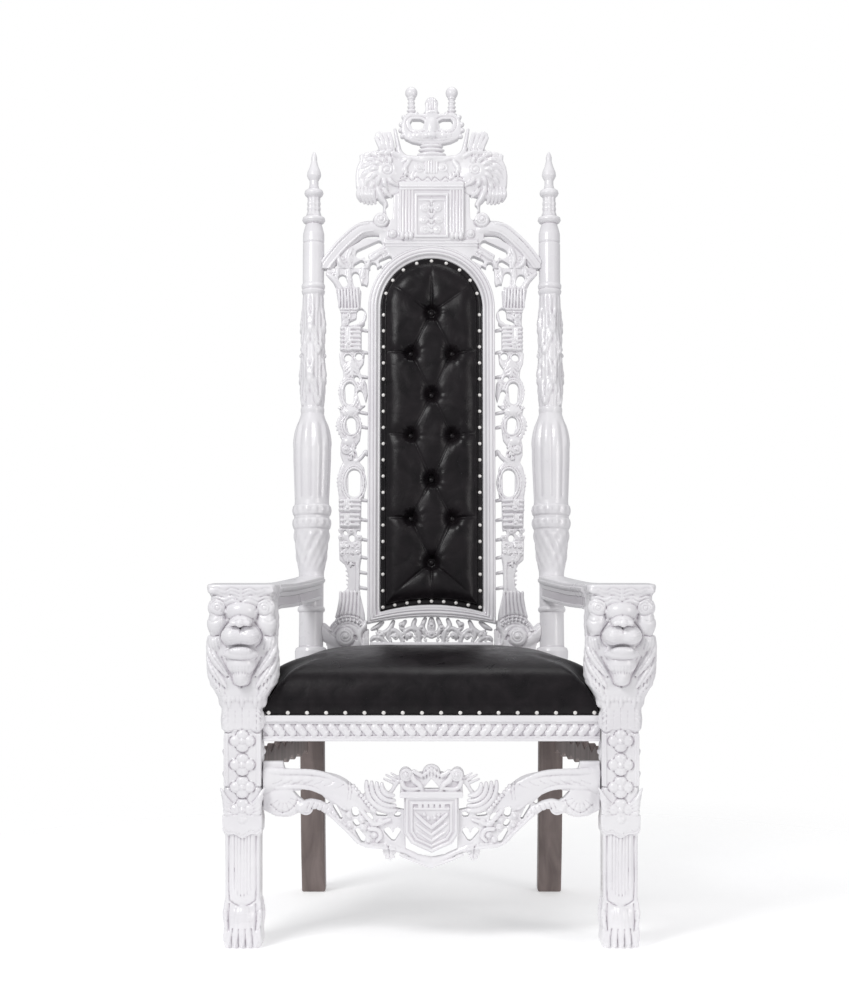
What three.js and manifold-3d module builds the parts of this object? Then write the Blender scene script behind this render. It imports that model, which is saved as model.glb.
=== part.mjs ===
// A carved throne: lion-head front legs, a tall pierced back with a tufted pad, and a domed seat.
// Millimetres, +Z up. The front faces -Y, and the feet stand on Z = 0.
import * as THREE from 'three';
import { mergeVertices } from 'three/addons/utils/BufferGeometryUtils.js';
import Module from 'manifold-3d';

const wasm = await Module();
wasm.setup();

// ---------- driving dimensions ----------
const GAP = 0.3;                 // clearance between touching pieces
const LEG_X = 364;               // front leg centre, from the middle
const LEG_Y = -292;              // front leg centre, front to back
const LEG_HALF = 38;             // half the width of the square leg
const HEAD_TOP = 700;            // top of the lion head and of the arm's front end
const RAIL_BOTTOM = 396;         // underside of the seat rails
const RAIL_TOP = 446;            // top of the seat rails, where the cushion starts
const SEAT_CROWN = 564;          // highest point of the domed seat
const POST_X = 266;              // back post axis, from the middle
const POST_Y = 219;              // back post axis at the pivot height
const PIVOT_Z = 560;             // height where the back's own coordinates start
const LEAN = THREE.MathUtils.degToRad(6);    // the back leans away from the sitter
const REAR_HALF = 26;            // half the width of the square rear leg
const REAR_RAKE = 62;            // how far the rear foot stands behind the leg's top
const BOARD_BACK = -17;          // back face of the carved boards, from the post axis
const BOARD_FRONT = 17;          // front face of the carved boards
const PAD_HALF = 113;            // half the width of the back pad, and its arch radius
const PAD_ARCH_V = 743;          // height of the arch centre above the pivot
const FRAME_WIDTH = 28.5;        // width of the stepped moulding round the pad
const SPLIT_V = 836;             // height where the side frets meet the crest
const PAINT = 0xe6e5e8;
const BROWN = 0x6c5c58;
const BLACK = 0x1c1919;

// ---------- solids ----------
function toSolid(geometry) {
  const bare = geometry.clone();
  bare.deleteAttribute('normal');
  bare.deleteAttribute('uv');
  const merged = mergeVertices(bare, 1e-4);
  const corners = new Uint32Array(merged.index.array);
  const build = () => new wasm.Manifold(new wasm.Mesh({
    numProp: 3,
    vertProperties: new Float32Array(merged.attributes.position.array),
    triVerts: corners,
  }));
  const solid = build();
  if (solid.volume() > 0) return solid;
  for (let i = 0; i < corners.length; i += 3) {
    [corners[i], corners[i + 1]] = [corners[i + 1], corners[i]];
  }
  return build();
}

function toGeometry(solid) {
  const mesh = solid.getMesh();
  const geometry = new THREE.BufferGeometry();
  geometry.setAttribute('position', new THREE.BufferAttribute(new Float32Array(mesh.vertProperties), 3));
  geometry.setIndex(new THREE.BufferAttribute(new Uint32Array(mesh.triVerts), 1));
  return geometry;
}

function join(geometries) {
  return geometries.map(toSolid).reduce((whole, next) => whole.add(next));
}

// Join the pieces, cut the hollows, then add what stands up inside the hollows.
function carve(pieces, hollows = [], raised = []) {
  const cut = hollows.map(toSolid).reduce((body, hollow) => body.subtract(hollow), join(pieces));
  return toGeometry(raised.map(toSolid).reduce((body, piece) => body.add(piece), cut));
}

// A closed skin over rings of the same count of points, with a flat fan at each end.
function loft(rings) {
  const count = rings[0].length;
  const points = rings.flat();
  const triangles = [];
  for (let r = 0; r + 1 < rings.length; r += 1) {
    for (let i = 0; i < count; i += 1) {
      const a = r * count + i;
      const b = r * count + (i + 1) % count;
      triangles.push(a, b, b + count, a, b + count, a + count);
    }
  }
  const middle = (ring) => ring.reduce((sum, p) => sum.clone().add(p), new THREE.Vector3())
    .divideScalar(count);
  const first = points.length;
  points.push(middle(rings[0]), middle(rings[rings.length - 1]));
  const last = (rings.length - 1) * count;
  for (let i = 0; i < count; i += 1) {
    const next = (i + 1) % count;
    triangles.push(first, next, i, first + 1, last + i, last + next);
  }
  const geometry = new THREE.BufferGeometry().setFromPoints(points);
  geometry.setIndex(triangles);
  return geometry;
}

// A level ring with rounded corners: half sizes hx and hy about (x, y), at height z.
function ring(x, y, z, hx, hy, sides = 8, squareness = 0.35) {
  const points = [];
  for (let i = 0; i < sides; i += 1) {
    const angle = ((i + 0.5) / sides) * 2 * Math.PI;
    const c = Math.cos(angle);
    const s = Math.sin(angle);
    const px = Math.sign(c) * Math.abs(c) ** squareness * hx;
    const py = Math.sign(s) * Math.abs(s) ** squareness * hy;
    points.push(new THREE.Vector3(x + px, y + py, z));
  }
  return points;
}

// An outline in the (u, v) plane of a board, as a slab from back to front (towards the viewer).
function slab(shape, back, front) {
  const geometry = new THREE.ExtrudeGeometry(shape, { depth: front - back, bevelEnabled: false });
  geometry.translate(0, 0, back);
  geometry.rotateX(Math.PI / 2);
  return geometry;
}

function polygon(points) {
  return new THREE.Shape(points.map(([u, v]) => new THREE.Vector2(u, v)));
}

function disc(u, v, radius, back, front, sides = 8, stretch = 1) {
  const points = [];
  for (let i = 0; i < sides; i += 1) {
    const angle = ((i + 0.5) / sides) * 2 * Math.PI;
    points.push([u + radius * Math.cos(angle), v + radius * stretch * Math.sin(angle)]);
  }
  return slab(polygon(points), back, front);
}

// A box in board coordinates.
function block(u0, u1, v0, v1, back, front) {
  return slab(polygon([[u0, v0], [u1, v0], [u1, v1], [u0, v1]]), back, front);
}

// A curved strip through the given (u, v, half width) stations, as long as steps allows.
function strip(stations, back, front, steps = 5) {
  const at = (k) => stations.map((s) => s[k]);
  const line = new THREE.SplineCurve(stations.map(([u, v]) => new THREE.Vector2(u, v)));
  const widths = at(2);
  const left = [];
  const right = [];
  for (let i = 0; i <= steps; i += 1) {
    const t = i / steps;
    const p = line.getPoint(t);
    const d = line.getTangent(t);
    const place = t * (widths.length - 1);
    const low = Math.min(Math.floor(place), widths.length - 2);
    const half = THREE.MathUtils.lerp(widths[low], widths[low + 1], place - low);
    left.push([p.x - d.y * half, p.y + d.x * half]);
    right.unshift([p.x + d.y * half, p.y - d.x * half]);
  }
  return slab(polygon([...left, ...right]), back, front);
}

// A rounded lump with few faces.
function lump(x, y, z, rx, ry, rz, around = 8, rows = 4) {
  const geometry = new THREE.SphereGeometry(1, around, rows);
  geometry.rotateX(Math.PI / 2);
  geometry.scale(rx, ry, rz);
  geometry.translate(x, y, z);
  return geometry;
}

// A leaf or petal: a low four-sided roof on the front face, from root to tip.
function petal(root, tip, half, base, rise) {
  const along = new THREE.Vector2(tip[0] - root[0], tip[1] - root[1]);
  const across = new THREE.Vector2(-along.y, along.x).normalize().multiplyScalar(half);
  const wide = [root[0] + along.x * 0.45, root[1] + along.y * 0.45];
  const outline = [
    root,
    [wide[0] + across.x, wide[1] + across.y],
    tip,
    [wide[0] - across.x, wide[1] - across.y],
  ];
  const sink = 3;
  const points = [
    ...outline.map(([u, v]) => new THREE.Vector3(u, base + sink, v)),
    new THREE.Vector3(wide[0], base - rise, wide[1]),
    new THREE.Vector3(wide[0], base + sink + 1, wide[1]),
  ];
  const triangles = [];
  for (let i = 0; i < 4; i += 1) {
    const j = (i + 1) % 4;
    triangles.push(i, 4, j, i, j, 5);
  }
  const geometry = new THREE.BufferGeometry().setFromPoints(points);
  geometry.setIndex(triangles);
  return geometry;
}

const both = (make) => [make(-1), make(1)].flat();

// ---------- front legs: lion head, leaf collar, rosettes, sunk shaft and paw, carved as one ----------
function lionHead() {
  const brow = 655;
  const mouth = 574;
  const muzzle = both((side) => lump(side * 17, -71, mouth + 29, 22, 27, 19, 6, 3));
  const bridge = lump(0, -60, brow - 14, 27, 24, 23, 6, 3);
  const nose = lump(0, -86, mouth + 52, 18, 14, 9, 5, 3);
  const eyes = both((side) => lump(side * 44, -55, brow, 15, 12, 14, 5, 3));
  const cheeks = both((side) => lump(side * 45, -45, brow - 34, 23, 21, 24, 6, 3));
  const jaw = lump(0, -62, mouth - 10, 33, 26, 14, 6, 3);
  const beard = lump(0, -53, mouth - 36, 22, 26, 34, 6, 3);
  const locks = both((side) => [0, 1].map((k) => petal(
    [side * (58 - k * 17), 562 - k * 6],
    [side * (48 - k * 15), 480 - k * 5],
    10, -52, 12,
  )));
  const slot = lump(0, -80, mouth + 6, 28, 34, 4.5, 6, 2);
  return { parts: [...muzzle, bridge, nose, ...eyes, ...cheeks, jaw, beard, ...locks], slot };
}

function legLeaves() {
  const fringe = [-20, 20].map((u) => petal([u, 500], [u, 458], 15, -40, 12));
  const skirt = [-22, 22].map((u) => petal([u, 456], [u, 410], 15, -42, 9));
  return [...fringe, ...skirt];
}

// A rosette on the front face: four ridged petals in a star, round a boss.
function rosette(v, reach, front) {
  const rise = 8;
  const around = [];
  const crowns = [];
  for (let i = 0; i < 8; i += 1) {
    const angle = (i / 8) * 2 * Math.PI;
    const r = i % 2 === 0 ? reach : reach * 0.68;
    around.push([r * Math.cos(angle), v + r * Math.sin(angle)]);
    if (i % 2 === 0) crowns.push([reach * 0.6 * Math.cos(angle), v + reach * 0.6 * Math.sin(angle)]);
  }
  const points = [
    ...around.map(([x, z]) => new THREE.Vector3(x, front + 2, z)),
    ...crowns.map(([x, z]) => new THREE.Vector3(x, front - rise, z)),
    new THREE.Vector3(0, front - 2, v),
    new THREE.Vector3(0, front + 3, v),
  ];
  const triangles = [];
  for (let i = 0; i < 8; i += 1) {
    const j = (i + 1) % 8;
    const crown = 8 + (Math.ceil(i / 2) % 4);
    triangles.push(i, 13, j, crown, i, j);
    if (i % 2 === 0) triangles.push(crown, j, 12);
    else triangles.push(crown, 12, i);
  }
  const star = new THREE.BufferGeometry().setFromPoints(points);
  star.setIndex(triangles);
  return [star, lump(0, front - 3, v, 8, 8, 8, 5, 2)];
}

// The plain form under the carving: paw, shaft, leaf collar and head, grown by a clearance.
function legCore(side, grow = 0) {
  const at = (x, y, z, hx, hy, squareness) => ring(x * side, y, z, hx + grow, hy + grow, 8, squareness);
  return loft([
    at(0, -3, 0, 37, 42, 0.25),
    at(0, -2, 40, 36.5, 40, 0.2),
    at(0, 0, 84, 34.5, 35, 0.2),
    at(0, 0, 218, 34.5, 35.5, 0.2),
    at(0, 0, 224, LEG_HALF, LEG_HALF, 0.15),
    at(0, 0, 414, LEG_HALF - 1, LEG_HALF - 1, 0.15),
    at(2.5, -1, 420, 40.5, 40.5, 0.2),
    at(2.5, -1, 460, 40.5, 41, 0.2),
    at(0, -1, 488, 55, 50, 0.35),
    at(0, 0, 514, 67, 56, 0.35),
    at(0, 2, 606, 68, 58, 0.35),
    at(0, -2, 679, 66, 60, 0.35),
    at(0, -4, 686, 70, 65, 0.35),
    at(0, -4, HEAD_TOP, 69, 64, 0.35),
  ]);
}

function frontLeg(side) {
  const front = -LEG_HALF;
  const head = lionHead();
  const stars = [267, 310, 353, 396].map((v) => rosette(v, 21.2, front)).flat();
  const toes = [-27, -9, 9, 27].map((u) => lump(u, -37, 17, 10, 18, 24, 5, 3));
  const sideLeaves = both((side) => petal([side * 28, 304], [side * 31, 262], 7, front, 9));
  const panel = slab(polygon([[-25, 217], [-25, 104], [-17, 88], [17, 88], [25, 104], [25, 217]]), 31, 45);
  const floor = new THREE.BoxGeometry(200, 200, 60);
  floor.translate(0, 0, -30);
  const flutes = [-12, 0, 12].map((u) => block(u - 3, u + 3, 86, 219, 20, 35));
  return carve(
    [legCore(side), ...head.parts, ...legLeaves(), ...stars, ...toes, ...sideLeaves],
    [head.slot, panel, floor],
    flutes,
  );
}

// ---------- arms: S-curved boards with a moulded top ----------
// Inwards shift, distance behind the leg's centre, and rise of the top, along the arm.
function arm(side) {
  const stations = [
    [38, 60, 0], [41, 120, 0], [58, 230, -1], [80, 350, 2], [95, 450, 5], [98, 522, 6],
  ];
  const section = [[-29, 0], [29, 0], [31, -9], [25, -17], [25, -50], [-25, -50], [-25, -17], [-31, -9]];
  const rings = stations.map(([shift, y, rise]) => section.map(([dx, dz]) => new THREE.Vector3(
    side * (dx - shift),
    y,
    HEAD_TOP - 3 + rise + dz,
  )));
  const postRadius = 28.5;
  const post = new THREE.CylinderGeometry(postRadius, postRadius, 400, 12);
  post.rotateX(Math.PI / 2 - LEAN);
  const lean = (HEAD_TOP - PIVOT_Z) * Math.tan(LEAN);
  post.translate(side * (POST_X - LEG_X), POST_Y - LEG_Y + lean, HEAD_TOP);
  return carve([loft(rings)], [post]);
}

// ---------- rear legs: square, raked back, with a small heel ----------
function rearLeg() {
  const top = RAIL_TOP + 4;
  const shift = (PIVOT_Z - top) * Math.tan(LEAN);
  const y = -shift;
  const slope = REAR_HALF * Math.tan(LEAN);
  const profile = [
    [y - REAR_HALF, top + slope],
    [y - REAR_HALF + 8, 300],
    [y - REAR_HALF + 28, 140],
    [y - REAR_HALF + 38, 84],
    [y - REAR_HALF + REAR_RAKE, 0],
    [y + REAR_HALF + REAR_RAKE - 2, 0],
    [y + REAR_HALF + 42, 76],
    [y + REAR_HALF + 28, 140],
    [y + REAR_HALF + 8, 300],
    [y + REAR_HALF, top - slope],
  ];
  const shape = polygon(profile);
  const geometry = new THREE.ExtrudeGeometry(shape, { depth: 2 * REAR_HALF, bevelEnabled: false });
  geometry.translate(0, 0, -REAR_HALF);
  geometry.rotateX(Math.PI / 2);
  geometry.rotateZ(Math.PI / 2);
  return geometry;
}

// ---------- back posts: turned, with leaves, a fluted bell and a finial ----------
// Stations up the post: height above the pivot, radius, and the depth of its flutes.
function backPost() {
  const foot = -(PIVOT_Z - RAIL_TOP - 4) / Math.cos(LEAN) + GAP;
  const sides = 8;
  const stations = [
    [foot, 30, 0], [-40, 35, 0], [-22, 35, 0], [-16, 26.5, 0],
    [60, 26.5, 0], [67, 30, 0], [74, 26.5, 0], [146, 27.5, 0],
    [172, 32, 0], [262, 41, 0], [284, 38, 0], [296, 42, 0], [308, 38, 3.5], [428, 42, 4], [462, 38, 4],
    [510, 26, 0], [780, 23.5, 0],
    [785, 27, 0], [798, 27, 0], [803, 24, 0], [917, 23.8, 0], [940, 17, 0],
    [950, 27, 0], [961, 14, 0], [1000, 14, 0], [1012, 22, 0],
    [1024, 10.5, 0], [1043, 10, 0], [1052, 16.5, 0], [1090, 5, 0], [1108, 2.5, 0],
  ];
  const rings = stations.map(([v, radius, flute]) => {
    const points = [];
    for (let i = 0; i < sides; i += 1) {
      const angle = (i / sides) * 2 * Math.PI;
      const r = radius - (i % 2) * flute;
      points.push(new THREE.Vector3(r * Math.cos(angle), r * Math.sin(angle), v));
    }
    return points;
  });
  const leaves = [];
  for (let k = 0; k < 4; k += 1) {
    const turn = (k / 4) * 2 * Math.PI;
    const leaf = petal([0, 512], [0, 738], 12, -20, 11);
    leaf.rotateZ(turn + Math.PI / 8);
    leaves.push(leaf);
  }
  return carve([loft(rings), ...leaves]);
}

// ---------- seat frame ----------
function frontRail() {
  const inner = LEG_X - LEG_HALF - GAP;
  const back = 296;
  const front = 318;
  const beads = 31;
  const pitch = (2 * inner) / beads;
  const body = block(-inner, inner, RAIL_BOTTOM, RAIL_TOP, back - 14, front);
  const channel = block(-inner - 9, inner + 9, 404, 430, front - 8, front + 9);
  const waves = [[-inner, -(back - 4)]];
  for (let k = 0; k < beads; k += 1) {
    waves.push([-inner + (k + 0.15) * pitch, -(front - 7)], [-inner + (k + 0.6) * pitch, -(front + 1)]);
  }
  waves.push([inner, -(front - 7)], [inner, -(back - 4)]);
  const rope = new THREE.ExtrudeGeometry(polygon(waves), { depth: 24, bevelEnabled: false });
  rope.translate(0, 0, 405);
  return carve([body], [channel], [rope]);
}

// A side rail runs from the back of the front leg to the front of the rear leg.
function sideRail(side) {
  const plan = polygon([
    [side * 344, LEG_Y + LEG_HALF + 8],
    [side * 378, LEG_Y + LEG_HALF + 8],
    [side * 288, 175],
    [side * 254, 175],
  ]);
  const geometry = new THREE.ExtrudeGeometry(plan, { depth: RAIL_TOP - RAIL_BOTTOM, bevelEnabled: false });
  geometry.translate(0, 0, RAIL_BOTTOM);
  return geometry;
}

function backRail() {
  const half = 262 - REAR_HALF - GAP;
  return block(-half, half, RAIL_BOTTOM, RAIL_TOP, -222, -186);
}

// The scalloped side apron: a thin board under the side rail, lobed above and below.
function sideApron(side) {
  const length = 398;
  const lobes = 7;
  const tab = 26;
  const steps = 14;
  const upper = [];
  const lower = [];
  for (let i = 0; i <= steps; i += 1) {
    const t = i / steps;
    const u = (t - 0.5) * (length - 2 * tab);
    const wave = Math.abs(Math.sin(t * lobes * Math.PI));
    upper.push([u, 352 + 16 * wave]);
    lower.unshift([u, 328 - 12 * wave]);
  }
  const end = length / 2;
  const outline = [
    [-end, 318], [-end, RAIL_BOTTOM - GAP], [-end + tab - 4, RAIL_BOTTOM - GAP],
    ...upper,
    [end - tab + 4, RAIL_BOTTOM - GAP], [end, RAIL_BOTTOM - GAP], [end, 318],
    ...lower,
  ];
  const geometry = slab(polygon(outline), -8, 8);
  geometry.rotateZ(side * Math.atan2(412, -90));
  return geometry;
}

// ---------- front apron: leaf scrolls, plumes, crown and shield, pierced ----------
function frontApron() {
  const back = 288;
  const face = 306;
  const raised = 316;
  const ends = LEG_X - LEG_HALF - GAP;
  const half = both((side) => [
    block(side * ends, side * 285, 267, 356, back, face),
    disc(side * 281, 282, 42, back, face, 8),
    strip([
      [side * 300, 312, 36], [side * 235, 322, 20], [side * 180, 302, 20], [side * 122, 258, 18],
    ], back, raised - 4, 3),
    disc(side * 244, 265, 13, back, face, 6),
    strip([
      [side * 244, 272, 8], [side * 216, 272, 8], [side * 180, 240, 12], [side * 140, 200, 15],
      [side * 74, 188, 14],
    ], back, face, 4),
    strip([[side * 128, 262, 16], [side * 104, 280, 10], [side * 112, 316, 3]], back, raised, 2),
    strip([[side * 104, 262, 14], [side * 78, 280, 9], [side * 80, 314, 3]], back, raised, 2),
    strip([[side * 150, 262, 10], [side * 124, 196, 9]], back, face, 1),
    strip([[side * 132, 224, 9], [side * 96, 238, 12], [side * 54, 262, 12]], back, face, 2),
    petal([side * 84, 200], [side * 84, 167], 12, -face, 5),
    strip([[side * 74, 186, 12], [0, 162, 11]], back, raised, 1),
    disc(side * 54, 332, 13, back, raised, 6),
    strip([[side * 52, 292, 8], [side * 36, 328, 7], [0, 336, 12]], back, face, 2),
  ]);
  const shield = polygon([[-53, 298], [-53, 216], [-40, 196], [0, 178], [40, 196], [53, 216], [53, 298]]);
  const field = polygon([[-36, 274], [-36, 226], [-28, 212], [0, 198], [28, 212], [36, 226], [36, 274]]);
  const sunk = polygon([[-43, 282], [-43, 222], [-33, 206], [0, 190], [33, 206], [43, 222], [43, 282]]);
  const chevron = strip([[-26, 262, 4], [0, 232, 4], [26, 262, 4]], raised, raised + 4, 2);
  const plate = block(-60, 60, 288, 298, back, raised + 8);
  const crownTop = disc(0, 340, 12, back, raised, 6);
  return carve(
    [...half, plate, slab(shield, back, raised + 4), crownTop],
    [slab(sunk, raised, raised + 20)],
    [slab(field, raised - 4, raised + 2), chevron],
  );
}

// ---------- the back, in its own leaning plane: u to the side, v up from the pivot ----------
// The arched outline of the pad and its frame, at a half width from the middle.
function archOutline(half, bottomSide, bottomMiddle, steps = 10) {
  const points = [];
  for (let i = 0; i <= steps; i += 1) {
    const angle = (i / steps) * Math.PI;
    points.push([half * Math.cos(angle), PAD_ARCH_V + half * Math.sin(angle)]);
  }
  for (let i = 0; i <= 4; i += 1) {
    const u = -half + (i / 4) * 2 * half;
    const rise = (bottomMiddle - bottomSide) * (1 - (u / half) ** 2);
    points.push([u, bottomSide + rise]);
  }
  return polygon(points);
}

const FRAME_HALF = PAD_HALF + GAP + FRAME_WIDTH;

function backFrame() {
  const hole = archOutline(PAD_HALF + GAP, 63 - GAP, 79 - GAP);
  const step = archOutline(PAD_HALF + 9, 55, 70);
  return carve(
    [slab(archOutline(FRAME_HALF, 36, 52), BOARD_BACK, BOARD_FRONT + 8)],
    [slab(hole, BOARD_BACK - 9, BOARD_FRONT + 20), slab(step, BOARD_FRONT + 2, BOARD_FRONT + 20)],
  );
}

// The pad's front is puffed: each ring is further in and further forward.
function backPad() {
  const levels = [[0, -12], [0, BOARD_FRONT - 1], [16, BOARD_FRONT + 3], [34, BOARD_FRONT + 13]];
  const rings = levels.map(([inset, w]) => archOutline(PAD_HALF - inset, 63 + inset, 79 + inset)
    .getPoints().map((p) => new THREE.Vector3(p.x, -w, p.y)));
  return loft(rings);
}

function crest() {
  const back = BOARD_BACK;
  const face = BOARD_FRONT;
  const root = face - 2;
  const raised = face + 10;
  const parts = both((side) => [
    // ball finials on turned stems, arms and the round body of the crowned figure
    lump(side * 46, 0, 1245, 14, 14, 14, 6, 4),
    strip([[side * 46, 1238, 9], [side * 45, 1184, 9]], -8, 8, 1),
    strip([
      [0, 1184, 8], [side * 52, 1183, 7], [side * 61, 1160, 10], [side * 54, 1138, 13], [0, 1137, 15],
    ], -12, 13, 5),
    // plumes that rise beside the figure
    strip([[side * 78, 1085, 18], [side * 98, 1124, 21], [side * 122, 1150, 10]], back, face, 2),
    strip([[side * 78, 1090, 10], [side * 79, 1158, 3]], back, raised, 1),
    // supporters: round scrolled bodies with a hanging fringe
    disc(side * 122, 1050, 50, back, face, 8, 1.02),
    disc(side * 118, 1050, 32, root, raised, 6),
    strip([[side * 60, 1088, 16], [side * 112, 1096, 11], [side * 156, 1090, 6]], back, raised - 3, 2),
    ...[0, 1].map((k) => strip(
      [[side * (132 + k * 22), 1030, 13], [side * (138 + k * 22), 978 + k * 9, 7]],
      back, raised - 2, 1,
    )),
    strip([[side * 90, 1020, 18], [side * 80, 950, 8]], back, face, 1),
    // volutes and shoulder arches
    disc(side * 114, 946, 20, back, raised, 7),
    strip([[side * 76, 918, 18], [side * 122, 928, 16]], back, face, 1),
    strip([
      [side * 118, 928, 22], [side * 160, 925, 17], [side * 196, 893, 17], [side * 226, 858, 17],
      [side * 241, 838, 17],
    ], back, face, 4),
    strip([
      [side * 124, 946, 4], [side * 164, 931, 4], [side * 202, 897, 4], [side * 236, 862, 4],
    ], root, raised - 3, 3),
    // the network under the arch
    strip([[side * 150, 916, 5], [side * 148, 872, 5], [side * 126, 856, 5]], back, face - 4, 2),
    strip([[side * 196, 874, 10], [side * 190, 834, 10]], back, face - 4, 1),
    strip([[side * 190, 850, 6], [side * 146, 852, 6]], back, face - 4, 1),
  ]);
  const middle = [
    // head, neck and base of the figure
    block(-14, 14, 1184, 1226, -12, 13),
    lump(0, 0, 1226, 16, 14, 12, 6, 3),
    lump(0, -8, 1140, 34, 18, 17, 6, 3),
    strip([[0, 1184, 17], [0, 1140, 19], [0, 1106, 28], [0, 1086, 46]], back, face, 3),
    block(-31, 31, 1099, 1108, back, raised),
    // the mass behind the mantling and the shield, and the arched field over the pad's frame
    slab(polygon([
      [-160, 1060], [-140, 1020], [-74, 1000], [-74, 904], [-100, 902], [-100, 868], [100, 868], [100, 902],
      [74, 904], [74, 1000], [140, 1020], [160, 1060], [140, 1098], [-140, 1098],
    ]), back, face),
    strip([[-76, 1044, 6], [-38, 1032, 6], [0, 1040, 6], [38, 1032, 6], [76, 1044, 6]], root, raised, 4),
    block(-73, 73, 899, 1016, root, face + 5),
    block(-39, 39, 903, 984, root, raised + 2),
    ...[-56, 56].map((u) => block(u - 7, u + 7, 905, 1010, root, raised - 1)),
  ];
  const frameTop = slab(archOutline(FRAME_HALF + GAP, 300, 300), back - 9, raised + 20);
  const hollows = both((side) => [
    disc(side * 98, 966, 9, back - 9, raised + 9, 6, 1.4),
    block(side * (POST_X - 24 - GAP), side * 300, 780, 900, back - 9, raised + 9),
    block(side * 120, side * 300, 780, SPLIT_V + GAP, back - 9, raised + 9),
  ]);
  return carve([...parts, ...middle], [frameTop, ...hollows]);
}

// A side fret: one pierced carving of leaves, loops and banded blocks.
function fret(side) {
  const back = BOARD_BACK + 4;
  const face = BOARD_FRONT - 4;
  const raised = face + 6;
  const at = (points) => points.map(([u, v, half]) => [side * u, v, half]);
  const oval = (u, v, ru, rv, sides) => {
    const points = [];
    for (let i = 0; i < sides; i += 1) {
      const angle = ((i + 0.5) / sides) * 2 * Math.PI;
      points.push(new THREE.Vector2(side * u + ru * Math.cos(angle), v + rv * Math.sin(angle)));
    }
    return points;
  };
  const loop = (u, v, ru, rv, band) => {
    const shape = new THREE.Shape(oval(u, v, ru, rv, 7));
    shape.holes.push(new THREE.Path(oval(u, v, ru - band, rv - band, 5)));
    return slab(shape, back, face);
  };
  const banded = (u0, u1, v0, v1) => {
    const outline = [];
    for (let i = 0; i <= 4; i += 1) {
      const spread = i % 2 === 0 ? 0 : 4;
      const v = THREE.MathUtils.lerp(v0, v1, i / 4);
      outline.push([side * (u1 + spread), v]);
      outline.unshift([side * (u0 - spread), v]);
    }
    return slab(polygon(outline), back, raised);
  };
  const pair = () => {
    const shape = polygon([[side * 152, 616], [side * 202, 616], [side * 200, 646], [side * 154, 646]]);
    shape.holes.push(new THREE.Path(oval(188, 632, 7, 8, 5)), new THREE.Path(oval(165, 632, 7, 8, 5)));
    return slab(shape, back, face);
  };
  const tie = (v) => strip(at([[FRAME_HALF + GAP, v - 5, 4], [166, v + 5, 5]]), back, face - 6, 1);
  const parts = [
    // leafy head under the shoulder arch
    strip(at([[234, 818, 8], [206, 812, 8], [188, 780, 8]]), back, face, 2),
    strip(at([[190, 838, 9], [186, 780, 8]]), back, face, 1),
    strip(at([[146, 838, 7], [160, 800, 7], [178, 780, 9]]), back, face, 2),
    block(side * 166, side * 212, 740, 786, back, face),
    ...[177, 201].map((u) => block(side * (u - 6), side * (u + 6), 744, 782, face - 3, raised)),
    loop(179, 724, 24, 26, 11),
    banded(162, 198, 642, 704),
    // two round openings over a leaf
    pair(),
    strip(at([[176, 622, 8], [176, 606, 17], [178, 586, 8]]), back, raised, 2),
    // long loop and its leaf
    loop(180, 552, 26, 42, 10),
    strip(at([[172, 580, 5], [148, 546, 4]]), back, raised, 1),
    strip(at([[176, 520, 6], [178, 504, 16], [184, 490, 6]]), back, raised, 2),
    loop(182, 466, 25, 33, 11),
    strip(at([[180, 440, 9], [174, 394, 12]]), back, raised, 1),
    loop(172, 356, 28, 44, 11),
    banded(160, 198, 254, 318),
    strip(at([[194, 260, 7], [188, 180, 9]]), back, face, 1),
    strip(at([[164, 260, 7], [166, 180, 10]]), back, face, 1),
    disc(side * 178, 196, 20, back, raised, 6),
    // thin stem and spreading foot
    strip(at([[176, 184, 18], [170, 148, 8], [172, 112, 9], [176, 56, 26]]), back, face, 3),
    disc(side * 188, 16, 49, back, face - 5, 10),
    disc(side * 190, 11, 24, face - 8, raised + 4, 8),
    // bracket to the post
    strip(at([[198, 6, 20], [239.2, 24, 13]]), back, face, 1),
    ...[640, 480, 142].map(tie),
  ];
  const frameSide = slab(archOutline(FRAME_HALF + GAP, 20, 36), back - 9, raised + 20);
  const hollow = disc(side * 173, 8, 6, back - 9, raised + 9, 6);
  const crestFoot = block(side * 120, side * 300, SPLIT_V, 900, back - 9, raised + 9);
  const postFoot = block(side * (POST_X - 26.5 - GAP), side * 300, -60, 60, back - 9, raised + 9);
  return carve(parts, [frameSide, hollow, crestFoot, postFoot]);
}

// The lower rail: a plain board behind the cushion under a row of pierced scrolls.
function lowerRail() {
  const back = BOARD_BACK;
  const face = BOARD_FRONT - 6;
  const reach = 136;
  const foot = -(PIVOT_Z - RAIL_TOP) + 4;
  const parts = [block(-reach, reach, foot, -2, back, face - 6)];
  [-90, -45, 0, 45, 90].forEach((u, k) => {
    parts.push(disc(u, 12 + (k % 2) * 4, 18, back, face + (k % 2) * 5, 6, 1.3));
  });
  parts.push(strip([[-124, 26, 6], [-60, 32, 5], [0, 40, 5], [60, 32, 5], [124, 26, 6]], back, face, 4));
  const frameFoot = slab(archOutline(FRAME_HALF + GAP, 36 - GAP, 52 - GAP), back - 9, face + 30);
  return carve(parts, [frameFoot]);
}

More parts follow.
